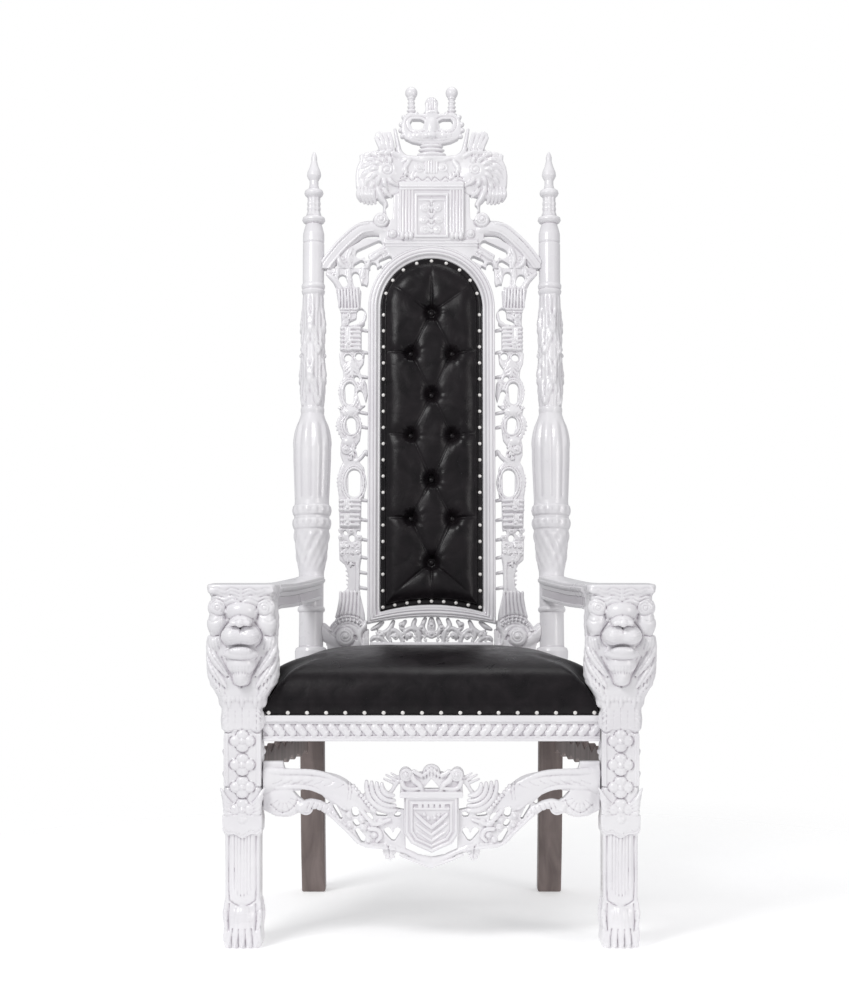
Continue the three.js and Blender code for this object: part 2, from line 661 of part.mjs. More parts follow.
// ---------- seat cushion: a trapezoid with a rounded edge and a domed top ----------
function seatCushion() {
  const front = LEG_Y - 24;
  const rear = 178;
  const sides = 20;
  const base = RAIL_TOP + GAP;
  // level height, and how far its outline is drawn in from the widest one
  const levels = [
    [base, 4], [base + 24, 0], [base + 62, 14], [base + 88, 52], [SEAT_CROWN, 180],
  ];
  const rings = levels.map(([z, inset]) => {
    const points = [];
    for (let i = 0; i < sides; i += 1) {
      const angle = ((i + 0.5) / sides) * 2 * Math.PI;
      const c = Math.cos(angle);
      const s = Math.sin(angle);
      const depth = (rear - front) / 2 - inset;
      const y = (rear + front) / 2 + Math.sign(s) * Math.abs(s) ** 0.22 * depth;
      const half = THREE.MathUtils.mapLinear(y, front, rear, 352, 286) - inset;
      points.push(new THREE.Vector3(Math.sign(c) * Math.abs(c) ** 0.22 * half, y, z));
    }
    return points;
  });
  const corner = (side, inner, y0, y1) => {
    const width = 120;
    const box = new THREE.BoxGeometry(width, y1 - y0, 400);
    box.translate(side * (inner + width / 2), (y0 + y1) / 2, RAIL_TOP + 100);
    return box;
  };
  const legBack = LEG_Y + LEG_HALF + 26;
  const clearance = 3;
  const notches = both((side) => {
    const leg = legCore(side, clearance);
    leg.translate(side * LEG_X, LEG_Y, 0);
    return [leg, corner(side, 326, front - 50, legBack), corner(side, 228, 160, 240)];
  });
  return carve([loft(rings)], notches);
}

// ---------- materials and assembly ----------
const paint = new THREE.MeshStandardMaterial({ color: PAINT, roughness: 0.28, metalness: 0 });
const brownWood = new THREE.MeshStandardMaterial({ color: BROWN, roughness: 0.6, metalness: 0 });
const vinyl = new THREE.MeshStandardMaterial({ color: BLACK, roughness: 0.35, metalness: 0 });

const throne = new THREE.Group();
const back = new THREE.Group();
back.position.set(0, POST_Y, PIVOT_Z);
back.rotation.x = -LEAN;
throne.add(back);

function place(parent, name, geometry, material, x = 0, y = 0, z = 0) {
  const mesh = new THREE.Mesh(geometry, material);
  mesh.name = name;
  mesh.position.set(x, y, z);
  parent.add(mesh);
}

const SIDES = [['left', -1], ['right', 1]];
SIDES.forEach(([word, side]) => {
  place(throne, `front_leg_${word}`, frontLeg(side), paint, side * LEG_X, LEG_Y);
  place(throne, `arm_${word}`, arm(side), paint, side * LEG_X, LEG_Y);
  place(throne, `rear_leg_${word}`, rearLeg(), brownWood, side * 262, POST_Y);
  place(throne, `seat_rail_${word}`, sideRail(side), paint);
  place(throne, `apron_${word}`, sideApron(side), brownWood, side * 318, -38);
  place(back, `back_post_${word}`, backPost(), paint, side * POST_X);
  place(back, `fret_${word}`, fret(side), paint);
});
place(throne, 'seat_rail_front', frontRail(), paint);
place(throne, 'seat_rail_back', backRail(), paint);
place(throne, 'apron_front', frontApron(), paint);
place(throne, 'seat_cushion', seatCushion(), vinyl);
place(back, 'back_frame', backFrame(), paint);
place(back, 'back_pad', backPad(), vinyl);
place(back, 'crest', crest(), paint);
place(back, 'lower_back_rail', lowerRail(), paint);

// The origin is under the middle of the whole throne.
throne.updateMatrixWorld(true);
const extent = new THREE.Box3().setFromObject(throne, true);
const middle = extent.getCenter(new THREE.Vector3());
throne.position.set(-middle.x, -middle.y, 0);

export default throne;
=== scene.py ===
"""The looks of a carved white throne with lion-head legs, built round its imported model.

Carvings are worked out in millimetres in each piece's own plane and set in place at the end.
"""
import math

import bmesh
import bpy
import numpy as np
from mathutils import Matrix, Vector


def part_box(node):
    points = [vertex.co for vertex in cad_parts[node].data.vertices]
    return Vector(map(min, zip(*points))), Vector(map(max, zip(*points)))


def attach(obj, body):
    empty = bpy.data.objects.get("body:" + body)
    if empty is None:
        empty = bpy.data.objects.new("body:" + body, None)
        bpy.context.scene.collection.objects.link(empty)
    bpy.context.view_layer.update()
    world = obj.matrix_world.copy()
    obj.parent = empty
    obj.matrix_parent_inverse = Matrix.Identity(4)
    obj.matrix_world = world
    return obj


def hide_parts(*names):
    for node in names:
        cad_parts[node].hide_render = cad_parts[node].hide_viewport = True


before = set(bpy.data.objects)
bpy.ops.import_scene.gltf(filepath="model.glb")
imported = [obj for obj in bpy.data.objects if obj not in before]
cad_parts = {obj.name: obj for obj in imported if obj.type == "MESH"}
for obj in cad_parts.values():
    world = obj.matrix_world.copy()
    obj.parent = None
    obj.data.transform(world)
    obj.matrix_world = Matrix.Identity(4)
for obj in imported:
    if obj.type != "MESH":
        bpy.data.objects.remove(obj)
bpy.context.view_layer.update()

# ---------- places and sizes, in millimetres ----------
LEG_X = 364
LEG_Y = -292
LEG_HALF = 38
HEAD_TOP = 700
RAIL_BOTTOM = 396
RAIL_TOP = 446
SEAT_CROWN = 564
POST_X = 266
POST_Y = 219
PIVOT_Z = 560
LEAN = math.radians(6)
PAD_HALF = 113
PAD_ARCH_V = 743
PAD_FOOT_V = 63.4
PAD_FOOT_RISE = 16
FRAME_HALF = 141.8
FRAME_FOOT_V = 36
FRAME_GAP = 0.7
SPLIT_V = 836
SPLIT_LAP = 0.9
BAY_HALF = LEG_X - LEG_HALF - 0.3

BACK_RAIL_Y = 204
rail_low, rail_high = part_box("seat_rail_back")
SHIFT = (rail_low.y + rail_high.y) * 500 - BACK_RAIL_Y

TO_METRES = Matrix.Scale(0.001, 4)
FRONT_PLACE = TO_METRES @ Matrix.Translation((0, SHIFT, 0))
BACK_PLACE = FRONT_PLACE @ Matrix.Translation((0, POST_Y, PIVOT_Z)) @ Matrix.Rotation(-LEAN, 4, "X")
SIDES = (("left", -1), ("right", 1))


def new_object(name, data):
    """An object in the scene, made from its data."""
    made = bpy.data.objects.new(name, data)
    bpy.context.scene.collection.objects.link(made)
    return made


def shade_smooth(data):
    data.polygons.foreach_set("use_smooth", np.ones(len(data.polygons), bool))


# ---------- camera: level, a little above the seat, straight in front ----------
CAMERA_DISTANCE = 3.70
CAMERA_HEIGHT = 0.804
SENSOR_HEIGHT = 24
FOCAL_PER_HEIGHT = 1.924
camera_data = bpy.data.cameras.new("camera")
camera_data.sensor_fit = "VERTICAL"
camera_data.sensor_height = SENSOR_HEIGHT
camera_data.lens = SENSOR_HEIGHT * FOCAL_PER_HEIGHT
camera_data.shift_x = -0.007
camera_data.shift_y = 0.030
camera = new_object("camera", camera_data)
camera.location = (0, (LEG_Y - LEG_HALF + SHIFT) / 1000 - CAMERA_DISTANCE, CAMERA_HEIGHT)
camera.rotation_euler = (math.radians(90), 0, 0)
bpy.context.scene.camera = camera


# ---------- carving in a distance field: negative inside, positive outside ----------
def soft_min(a, b, soft):
    near = np.maximum(soft - np.abs(a - b), 0) / soft
    return np.minimum(a, b) - near * near * soft / 4


class Field:
    """A block of wood on a grid, to which forms are added and from which they are cut."""

    def __init__(self, low, high, step):
        self.low = np.array(low, float)
        self.step = step
        self.count = np.ceil((np.array(high, float) - self.low) / step).astype(int) + 1
        self.axes = [(self.low[i] + step * np.arange(self.count[i])).astype(np.float32) for i in range(3)]
        self.value = np.full(self.count, 99, np.float32)

    def window(self, low, high, margin):
        cuts = []
        for i in range(3):
            first = math.floor((low[i] - margin - self.low[i]) / self.step)
            last = math.ceil((high[i] + margin - self.low[i]) / self.step) + 1
            first = min(max(first, 0), self.count[i])
            last = min(max(last, first), self.count[i])
            cuts.append(slice(first, last))
        points = np.meshgrid(*[self.axes[i][cuts[i]] for i in range(3)], indexing="ij", sparse=True)
        return tuple(cuts), points

    def add(self, form, soft=3.0):
        low, high, distance = form
        cuts, points = self.window(low, high, soft + 2 * self.step)
        if self.value[cuts].size:
            self.value[cuts] = soft_min(self.value[cuts], distance(*points), soft)

    def cut(self, form, soft=2.0):
        low, high, distance = form
        cuts, points = self.window(low, high, soft + 2 * self.step)
        if self.value[cuts].size:
            self.value[cuts] = -soft_min(-self.value[cuts], distance(*points), soft)

    def vine(self, points, radii, soft=2.0, cut=False, steps=10, deep=1.0):
        """A round strand through the points, thick or thin by radii, deep times as deep in Y."""
        line, sizes = spline(points, radii, steps)
        act = self.cut if cut else self.add
        for k in range(len(line) - 1):
            act(bone(line[k], line[k + 1], sizes[k], sizes[k + 1], deep), soft)


def spline(points, sizes, steps):
    """A smooth line through the points, with the sizes carried along it."""
    knots = np.column_stack([np.array(points, float), np.array(sizes, float)])
    padded = np.vstack([2 * knots[0] - knots[1], knots, 2 * knots[-1] - knots[-2]])
    spans = len(knots) - 1
    out = []
    for k in range(steps + 1):
        place = min(k / steps * spans, spans - 1e-6)
        i = int(place)
        t = place - i
        p0, p1, p2, p3 = padded[i:i + 4]
        out.append(0.5 * (2 * p1 + (p2 - p0) * t + (2 * p0 - 5 * p1 + 4 * p2 - p3) * t * t
                          + (3 * p1 - p0 - 3 * p2 + p3) * t ** 3))
    out = np.array(out)
    return out[:, :-1], np.maximum(out[:, -1], 0.2)


def blob(centre, radii):
    """A rounded lump."""
    centre = np.array(centre, float)
    radii = np.array(radii, float)

    def distance(x, y, z):
        p = [(x - centre[0]) / radii[0], (y - centre[1]) / radii[1], (z - centre[2]) / radii[2]]
        inner = np.sqrt(p[0] ** 2 + p[1] ** 2 + p[2] ** 2)
        slope = np.sqrt((p[0] / radii[0]) ** 2 + (p[1] / radii[1]) ** 2 + (p[2] / radii[2]) ** 2)
        return (inner * (inner - 1) / np.maximum(slope, 1e-6)).astype(np.float32)

    return centre - radii, centre + radii, distance


def bone(a, b, ra, rb, deep=1.0):
    """A round bar from a to b, from radius ra to rb."""
    a = np.array(a, float)
    b = np.array(b, float)
    along = b - a
    length = max(float(along @ along), 1e-6)
    big = max(ra, rb) * max(deep, 1.0)

    def distance(x, y, z):
        px, py, pz = x - a[0], y - a[1], z - a[2]
        t = np.clip((px * along[0] + py * along[1] + pz * along[2]) / length, 0, 1)
        dx = px - t * along[0]
        dy = (py - t * along[1]) / deep
        dz = pz - t * along[2]
        return (np.sqrt(dx * dx + dy * dy + dz * dz) - (ra + (rb - ra) * t)).astype(np.float32)

    return np.minimum(a, b) - big, np.maximum(a, b) + big, distance


def brick(low, high, rounding=1.0):
    """A box with eased edges."""
    low = np.array(low, float)
    high = np.array(high, float)
    centre = (low + high) / 2
    half = (high - low) / 2 - rounding

    def distance(x, y, z):
        q = [np.abs(x - centre[0]) - half[0], np.abs(y - centre[1]) - half[1],
             np.abs(z - centre[2]) - half[2]]
        outside = np.sqrt(np.maximum(q[0], 0) ** 2 + np.maximum(q[1], 0) ** 2 + np.maximum(q[2], 0) ** 2)
        inside = np.minimum(np.maximum(np.maximum(q[0], q[1]), q[2]), 0)
        return (outside + inside - rounding).astype(np.float32)

    return low, high, distance


def tower(stations):
    """A body whose level section changes with height: (z, x, y, half x, half y, squareness)."""
    table = np.array(stations, float)
    reach = table[:, 3:5].max()

    def distance(x, y, z):
        level = np.asarray(z).ravel()
        cx, cy, hx, hy, power = [np.interp(level, table[:, 0], table[:, k]).reshape(1, 1,
                                                                                    -1) for k in range(1, 6)]
        px = np.abs(x - cx) / hx
        py = np.abs(y - cy) / hy
        section = ((px ** power + py ** power) ** (1 / power) - 1) * np.minimum(hx, hy)
        ends = np.maximum(table[0, 0] - z, z - table[-1, 0])
        return np.maximum(section, ends).astype(np.float32)

    return (-reach - 10, -reach - 10, table[0, 0]), (reach + 10, reach + 10, table[-1, 0]), distance


def surface(value, low, step):
    """The skin where the field is zero: points and quads."""
    inside = value < 0
    corners = [(i, j, k) for i in (0, 1) for j in (0, 1) for k in (0, 1)]
    shape = tuple(n - 1 for n in value.shape)

    def corner(array, c):
        return array[c[0]:c[0] + shape[0], c[1]:c[1] + shape[1], c[2]:c[2] + shape[2]]

    some = np.zeros(shape, bool)
    every = np.ones(shape, bool)
    for c in corners:
        some |= corner(inside, c)
        every &= corner(inside, c)
    cells = np.argwhere(some & ~every)
    number = np.full(shape, -1, np.int32)
    number[tuple(cells.T)] = np.arange(len(cells))
    total = np.zeros((len(cells), 3), np.float64)
    hits = np.zeros(len(cells), np.int32)
    for a in corners:
        for axis in range(3):
            if a[axis]:
                continue
            b = list(a)
            b[axis] = 1
            fa = value[tuple((cells + a).T)]
            fb = value[tuple((cells + b).T)]
            crossing = (fa < 0) != (fb < 0)
            t = np.where(crossing, fa / np.where(crossing, fa - fb, 1), 0)
            point = np.array(a, float)[None, :] + 0 * total
            point[:, axis] += t
            total += np.where(crossing[:, None], point, 0)
            hits += crossing
    points = (cells + total / hits[:, None]) * step + np.array(low)
    quads = []
    for axis in range(3):
        b, c = (axis + 1) % 3, (axis + 2) % 3
        here = [slice(1, n - 1) for n in value.shape]
        there = list(here)
        here[axis] = slice(0, value.shape[axis] - 1)
        there[axis] = slice(1, value.shape[axis])
        start, end = inside[tuple(here)], inside[tuple(there)]
        for flip in (False, True):
            edges = np.argwhere((start & ~end) if not flip else (~start & end))
            edges[:, b] += 1
            edges[:, c] += 1
            ring = []
            for db, dc in ((-1, -1), (0, -1), (0, 0), (-1, 0)):
                cell = edges.copy()
                cell[:, b] += db
                cell[:, c] += dc
                ring.append(number[tuple(cell.T)])
            quad = np.column_stack(ring)
            quads.append(quad[:, ::-1] if flip else quad)
    return without_specks(settle(value, low, step, points), np.vstack(quads))


def without_specks(points, quads, least=400):
    """Leaves out loose crumbs and hidden bubbles: skins of fewer than the least number of quads."""
    label = np.arange(len(points))
    while True:
        lowest = label[quads].min(axis=1)
        spread = label.copy()
        for corner in range(4):
            np.minimum.at(spread, quads[:, corner], lowest)
        spread = spread[spread]
        if (spread == label).all():
            break
        label = spread
    sizes = np.bincount(label[quads[:, 0]], minlength=len(points))
    quads = quads[sizes[label[quads[:, 0]]] >= least]
    used = np.unique(quads)
    number = np.zeros(len(points), np.int64)
    number[used] = np.arange(len(used))
    return points[used], number[quads]


def settle(value, low, step, points):
    """Moves the points of a skin onto the place where the field is zero."""
    limit = np.array(value.shape) - 2
    for _ in range(2):
        place = (points - np.array(low)) / step
        cell = np.clip(place.astype(int), 0, limit)
        t = place - cell
        total = 0
        slope = np.zeros_like(points)
        for i in (0, 1):
            for j in (0, 1):
                for k in (0, 1):
                    near = value[cell[:, 0] + i, cell[:, 1] + j, cell[:, 2] + k]
                    share = [t[:, n] if on else 1 - t[:, n] for n, on in enumerate((i, j, k))]
                    total = total + near * share[0] * share[1] * share[2]
                    slope[:, 0] += near * (2 * i - 1) * share[1] * share[2]
                    slope[:, 1] += near * (2 * j - 1) * share[0] * share[2]
                    slope[:, 2] += near * (2 * k - 1) * share[0] * share[1]
        size = np.maximum((slope ** 2).sum(axis=1), 0.05 * step * step)
        move = -(total / size)[:, None] * slope
        points = points + step * np.clip(move, -0.5, 0.5)
    return points


def make_mesh(name, points, faces, place, keep):
    """A mesh object from points in millimetres, thinned to the share keep of its faces."""
    data = bpy.data.meshes.new(name)
    data.vertices.add(len(points))
    data.vertices.foreach_set("co", np.asarray(points, np.float32).ravel())
    sides = faces.shape[1]
    data.loops.add(faces.size)
    data.loops.foreach_set("vertex_index", faces.astype(np.int32).ravel())
    data.polygons.add(len(faces))
    data.polygons.foreach_set("loop_start", np.arange(len(faces), dtype=np.int32) * sides)
    data.polygons.foreach_set("loop_total", np.full(len(faces), sides, np.int32))
    data.update(calc_edges=True)
    data.validate()
    piece = new_object(name, data)
    thin = piece.modifiers.new("thin", "DECIMATE")
    thin.ratio = keep
    apply_modifiers(piece)
    piece.data.transform(place)
    if place.determinant() < 0:
        piece.data.flip_normals()
    shade_smooth(piece.data)
    return piece


def apply_modifiers(piece):
    graph = bpy.context.evaluated_depsgraph_get()
    final = bpy.data.meshes.new_from_object(piece.evaluated_get(graph))
    piece.modifiers.clear()
    old = piece.data
    piece.data = final
    bpy.data.meshes.remove(old)


def board(outline, back, front, rounding=2.0):
    """A flat shape in the X-Z plane, from the depth back to the depth front (the smaller Y)."""
    outline = np.array(outline, float)
    middle = (back + front) / 2
    half = abs(back - front) / 2 - rounding

    def distance(x, y, z):
        near = np.full((x.shape[0], 1, z.shape[2]), 1e9)
        outside = np.ones(near.shape, bool)
        for a, b in zip(outline, np.roll(outline, -1, axis=0)):
            edge = b - a
            wx, wz = x - a[0], z - a[1]
            t = np.clip((wx * edge[0] + wz * edge[1]) / max(edge @ edge, 1e-9), 0, 1)
            near = np.minimum(near, (wx - edge[0] * t) ** 2 + (wz - edge[1] * t) ** 2)
            above, below = z >= a[1], z < b[1]
            left = edge[0] * wz > edge[1] * wx
            outside ^= (above & below & left) | (~above & ~below & ~left)
        flat = np.where(outside, 1, -1) * np.sqrt(near) + rounding
        deep = np.abs(y - middle) - half
        shell = np.sqrt(np.maximum(flat, 0) ** 2 + np.maximum(deep, 0) ** 2)
        return (shell + np.minimum(np.maximum(flat, deep), 0) - rounding).astype(np.float32)

    low = (outline[:, 0].min(), min(back, front), outline[:, 1].min())
    return low, (outline[:, 0].max(), max(back, front), outline[:, 1].max()), distance


def circle(x, z, radius, start=0.0, turns=1.0, count=14, shrink=1.0):
    """Points round a circle, or along a spiral where shrink is below one."""
    points = []
    for k in range(count + 1):
        t = k / count
        angle = 2 * math.pi * (start + turns * t)
        r = radius * shrink ** t
        points.append((x + r * math.cos(angle), z + r * math.sin(angle)))
    return points


def score(field, points, width, depth, steps=None, front=0.0):
    """A carved line on the front: depth into the wood, or a raised line where it is negative."""
    line = spline(points, [1] * len(points), steps or 4 * len(points))[0]
    low, high = line.min(axis=0) - 3 * width, line.max(axis=0) + 3 * width
    cuts, (x, y, z) = field.window((low[0], field.low[1], low[1]), (high[0], 1e4, high[1]), 0)
    if not field.value[cuts].size:
        return
    near = np.full((x.shape[0], 1, z.shape[2]), 1e6, np.float32)
    for a, b in zip(line[:-1], line[1:]):
        along = b - a
        t = np.clip(((x - a[0]) * along[0] + (z - a[1]) * along[1]) / max(along @ along, 1e-6), 0, 1)
        near = np.minimum(near, (x - a[0] - t * along[0]) ** 2 + (z - a[1] - t * along[1]) ** 2)
    field.value[cuts] += (depth * np.exp(-near / width ** 2) * (y < front)).astype(np.float32)


def vine(field, points, radii, y, soft=2.0, steps=10, deep=1.0):
    """A round strand in the X-Z plane at the depth y, which may be one number or one a point."""
    depths = y if isinstance(y, (list, tuple)) else [y] * len(points)
    field.vine([(p[0], d, p[1]) for p, d in zip(points, depths)], radii, soft, steps=steps, deep=deep)


def leaf(field, points, halves, y, thick, lobes=5, slant=0.9, lift=0.0):
    """A rib with pairs of lobes that slant towards its tip; halves is the leaf's half width."""
    count = 2 * lobes
    line, reach = spline(points, halves, count)
    for k in range(1, count, 2):
        ahead = line[k + 1] - line[k - 1]
        ahead /= max(np.linalg.norm(ahead), 1e-6)
        across = np.array([-ahead[1], ahead[0]])
        for side in (-1, 1):
            root = line[k] - ahead * reach[k] * 0.45
            tip = line[k] + (ahead * slant * 0.6 + across * side) * (reach[k] - thick * 0.4)
            field.add(bone((root[0], y, root[1]), (tip[0], y + lift, tip[1]), thick, thick * 0.6), 1.2)
    field.vine([(p[0], y - thick * 0.35, p[1]) for p in line], [thick * 0.7] * len(line), 1.0, steps=count)
    score(field, line, 1.2, 1.4)


def pierce(field, openings, y, soft):
    """Round-ended holes through a board in the X-Z plane: (end, end, radius, radius)."""
    for a, b, ra, rb in openings:
        field.cut(bone((a[0], y, a[1]), (b[0], y, b[1]), ra, rb, 8), soft)


def volute(field, x, z, radius, y, rise, start=0.0, turns=1.6, way=1):
    """A round boss with a spiral cut in its face and a bead at its centre."""
    field.add(blob((x, y, z), (radius, rise, radius)), 1.5)
    score(field, circle(x, z, radius * 0.78, start, turns * way, 22, 0.35), 1.5, 2.2)
    field.add(blob((x, y - rise * 0.75, z), (radius * 0.24, rise * 0.45, radius * 0.24)), 1.0)


# ---------- materials ----------
def material(name, colour, roughness, coat=0.0):
    made = bpy.data.materials.new(name)
    made.use_nodes = True
    shader = made.node_tree.nodes["Principled BSDF"]
    shader.inputs["Base Color"].default_value = (*colour, 1)
    shader.inputs["Roughness"].default_value = roughness
    shader.inputs["Coat Weight"].default_value = coat
    shader.inputs["Coat Roughness"].default_value = 0.12
    return made, made.node_tree.nodes, made.node_tree.links, shader


def texture(nodes, links, kind, scale, stretch=(1, 1, 1), **settings):
    """A noise or cell texture in object space, with its own scale and stretch."""
    place = nodes.new("ShaderNodeTexCoord")
    mapping = nodes.new("ShaderNodeMapping")
    mapping.inputs["Scale"].default_value = stretch
    pattern = nodes.new(kind)
    pattern.inputs["Scale"].default_value = scale
    for key, value in settings.items():
        pattern.inputs[key].default_value = value
    links.new(place.outputs["Object"], mapping.inputs["Vector"])
    links.new(mapping.outputs["Vector"], pattern.inputs["Vector"])
    return pattern


def ramp(nodes, links, source, stops):
    made = nodes.new("ShaderNodeValToRGB")
    while len(made.color_ramp.elements) < len(stops):
        made.color_ramp.elements.new(0.5)
    for element, (place, colour) in zip(made.color_ramp.elements, stops):
        element.position = place
        element.color = (*colour, 1)
    links.new(source, made.inputs["Fac"])
    return made


def grey(value):
    return (value, value, value)


def bump(nodes, links, shader, height, strength, distance, under=None):
    made = nodes.new("ShaderNodeBump")
    made.inputs["Strength"].default_value = strength
    made.inputs["Distance"].default_value = distance
    links.new(height, made.inputs["Height"])
    if under:
        links.new(under.outputs["Normal"], made.inputs["Normal"])
    links.new(made.outputs["Normal"], shader.inputs["Normal"])
    return made


def multiply(nodes, links, a, b, factor=1.0):
    mix = nodes.new("ShaderNodeMix")
    mix.data_type = "RGBA"
    mix.blend_type = "MULTIPLY"
    mix.inputs["Factor"].default_value = factor
    links.new(a, mix.inputs["A"])
    links.new(b, mix.inputs["B"])
    return mix.outputs["Result"]


def white_lacquer():
    """Gloss white paint: a little darker in the recesses, where shade is painted in, with faint patches and
    orange peel.
    """
    made, nodes, links, shader = material("white_lacquer", (0.8, 0.79, 0.81), 0.3, 0.4)
    patches = texture(nodes, links, "ShaderNodeTexNoise", 9, Detail=3)
    tint = ramp(nodes, links, patches.outputs["Fac"], [(0.3, (0.80, 0.785, 0.81)),
                                                       (0.7, (0.87, 0.86, 0.875))])
    form = nodes.new("ShaderNodeNewGeometry")
    # painted shade: the colour turns lilac grey where the surface is hollow, as shade would fall there
    painted_hollow_shade = ramp(nodes, links, form.outputs["Pointiness"], [
        (0.36, (0.36, 0.32, 0.35)), (0.44, (0.66, 0.62, 0.66)), (0.49, grey(0.97)), (0.53, grey(1.0)),
    ])
    links.new(multiply(nodes, links, tint.outputs["Color"], painted_hollow_shade.outputs["Color"]),
              shader.inputs["Base Color"])
    gloss = ramp(nodes, links, patches.outputs["Fac"], [(0.2, grey(0.24)), (0.8, grey(0.36))])
    links.new(gloss.outputs["Color"], shader.inputs["Roughness"])
    brush = texture(nodes, links, "ShaderNodeTexNoise", 240, Detail=2)
    bump(nodes, links, shader, brush.outputs["Fac"], 0.10, 0.0006)
    return made


def dark_brown_streaked():
    # dark brown with stretched streaks and a matching bump, for the rear legs and side aprons
    made, nodes, links, shader = material("dark_brown_streaked", (0.16, 0.12, 0.11), 0.5, 0.1)
    grain = texture(nodes, links, "ShaderNodeTexNoise", 40, (1, 1, 0.06), Detail=8, Distortion=0.6)
    tint = ramp(nodes, links, grain.outputs["Fac"], [
        (0.25, (0.10, 0.075, 0.07)), (0.55, (0.19, 0.15, 0.14)), (0.8, (0.25, 0.20, 0.19)),
    ])
    links.new(tint.outputs["Color"], shader.inputs["Base Color"])
    bump(nodes, links, shader, grain.outputs["Fac"], 0.25, 0.001)
    return made


def black_vinyl():
    """Soft black leathercloth: fine grain, small creases and uneven gloss."""
    made, nodes, links, shader = material("black_vinyl", (0.012, 0.011, 0.012), 0.36)
    shader.inputs["Specular IOR Level"].default_value = 0.22
    grain = texture(nodes, links, "ShaderNodeTexVoronoi", 620, Randomness=1.0)
    creases = texture(nodes, links, "ShaderNodeTexNoise", 26, Detail=6, Distortion=0.8)
    first = bump(nodes, links, shader, grain.outputs["Distance"], 0.22, 0.0005)
    bump(nodes, links, shader, creases.outputs["Fac"], 0.30, 0.004, first)
    tint = ramp(nodes, links, creases.outputs["Fac"], [(0.3, (0.006, 0.005, 0.006)),
                                                       (0.75, (0.013, 0.010, 0.012))])
    links.new(tint.outputs["Color"], shader.inputs["Base Color"])
    gloss = ramp(nodes, links, creases.outputs["Fac"], [(0.3, grey(0.26)), (0.75, grey(0.42))])
    links.new(gloss.outputs["Color"], shader.inputs["Roughness"])
    return made


def pearl_nail():
    made, nodes, links, shader = material("pearl_nail", (0.82, 0.80, 0.78), 0.18, 0.5)
    wear = texture(nodes, links, "ShaderNodeTexNoise", 300, Detail=3)
    tint = ramp(nodes, links, wear.outputs["Fac"], [(0.3, (0.72, 0.70, 0.67)), (0.7, (0.92, 0.90, 0.88))])
    links.new(tint.outputs["Color"], shader.inputs["Base Color"])
    bump(nodes, links, shader, wear.outputs["Fac"], 0.08, 0.0004)
    return made


def pale_floor():
    """A matt white sweep that fades out towards its rim."""
    made, nodes, links, shader = material("pale_floor", (0.93, 0.93, 0.93), 0.8)
    shader.inputs["Specular IOR Level"].default_value = 0.1
    place = nodes.new("ShaderNodeTexCoord")
    reach = nodes.new("ShaderNodeVectorMath")
    reach.operation = "LENGTH"
    links.new(place.outputs["Object"], reach.inputs[0])
    fade = nodes.new("ShaderNodeMapRange")
    for key, value in (("From Min", 0.5), ("From Max", 1.9), ("To Min", 1.0), ("To Max", 0.0)):
        fade.inputs[key].default_value = value
    shader.inputs["Emission Color"].default_value = (1, 1, 1, 1)
    shader.inputs["Emission Strength"].default_value = 0.36
    links.new(reach.outputs["Value"], fade.inputs["Value"])
    links.new(fade.outputs["Result"], shader.inputs["Alpha"])
    return made


WHITE = white_lacquer()
BROWN = dark_brown_streaked()
BLACK = black_vinyl()
PEARL = pearl_nail()
FINISH = {"white_paint": WHITE, "brown_wood": BROWN, "black_vinyl": BLACK, "nailhead": PEARL}


def dress(piece, slot, *nodes):
    """Gives a piece its finish, sets it under the root body and hides the solids it stands for."""
    piece.data.materials.clear()
    piece.data.materials.append(FINISH[slot])
    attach(piece, "root")
    if nodes:
        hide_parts(*nodes)
    return piece


MIRROR = Matrix.Scale(-1, 4, (1, 0, 0))


def place_of(base, side):
    return base if side > 0 else base @ MIRROR


# ---------- front legs ----------
def carve_mane(work):
    """Locks round the face and down the neck, ending in pointed tips."""

    def line(points, width, depth, front):
        score(work, [(side * x, z) for x, z in points], width, depth, front=front)

    for side in (-1, 1):
        for k in range(6):
            y = -40 + 18 * k
            x = 58 - 1.6 * abs(k - 2.5)
            work.vine([(side * x, y - 4, 664), (side * (x + 2), y + 4, 628), (side * x, y - 3, 588),
                       (side * (x + 2), y + 4, 548), (side * (x + 1), y, 514),
                       (side * (x - 12), y - 2, 488)],
                      [6, 7.5, 7.5, 8, 8, 3.5], 2.5, steps=12)
        for points in (((62, -30, 596), (60, -44, 572), (47, -52, 550), (28, -54, 526)),
                       ((64, -26, 570), (59, -42, 546), (46, -50, 524), (31, -52, 504)),
                       ((64, -22, 546), (58, -38, 524), (47, -45, 506), (37, -46, 488))):
            work.vine([(side * x, y, z) for x, y, z in points], [6.5, 8, 7.5, 4], 1.8, steps=9)
        line([(64, 584), (52, 560), (38, 541), (26, 522)], 1.6, 2.4, -25)
        line([(64, 559), (54, 536), (42, 517), (32, 500)], 1.6, 2.4, -25)
        for x, top, foot in ((50, 520, 494), (43, 512, 484), (56, 524, 500), (33, 502, 480)):
            line([(x, top), (x - 2, foot + 8), (x - 8, foot)], 1.2, 1.6, -20)


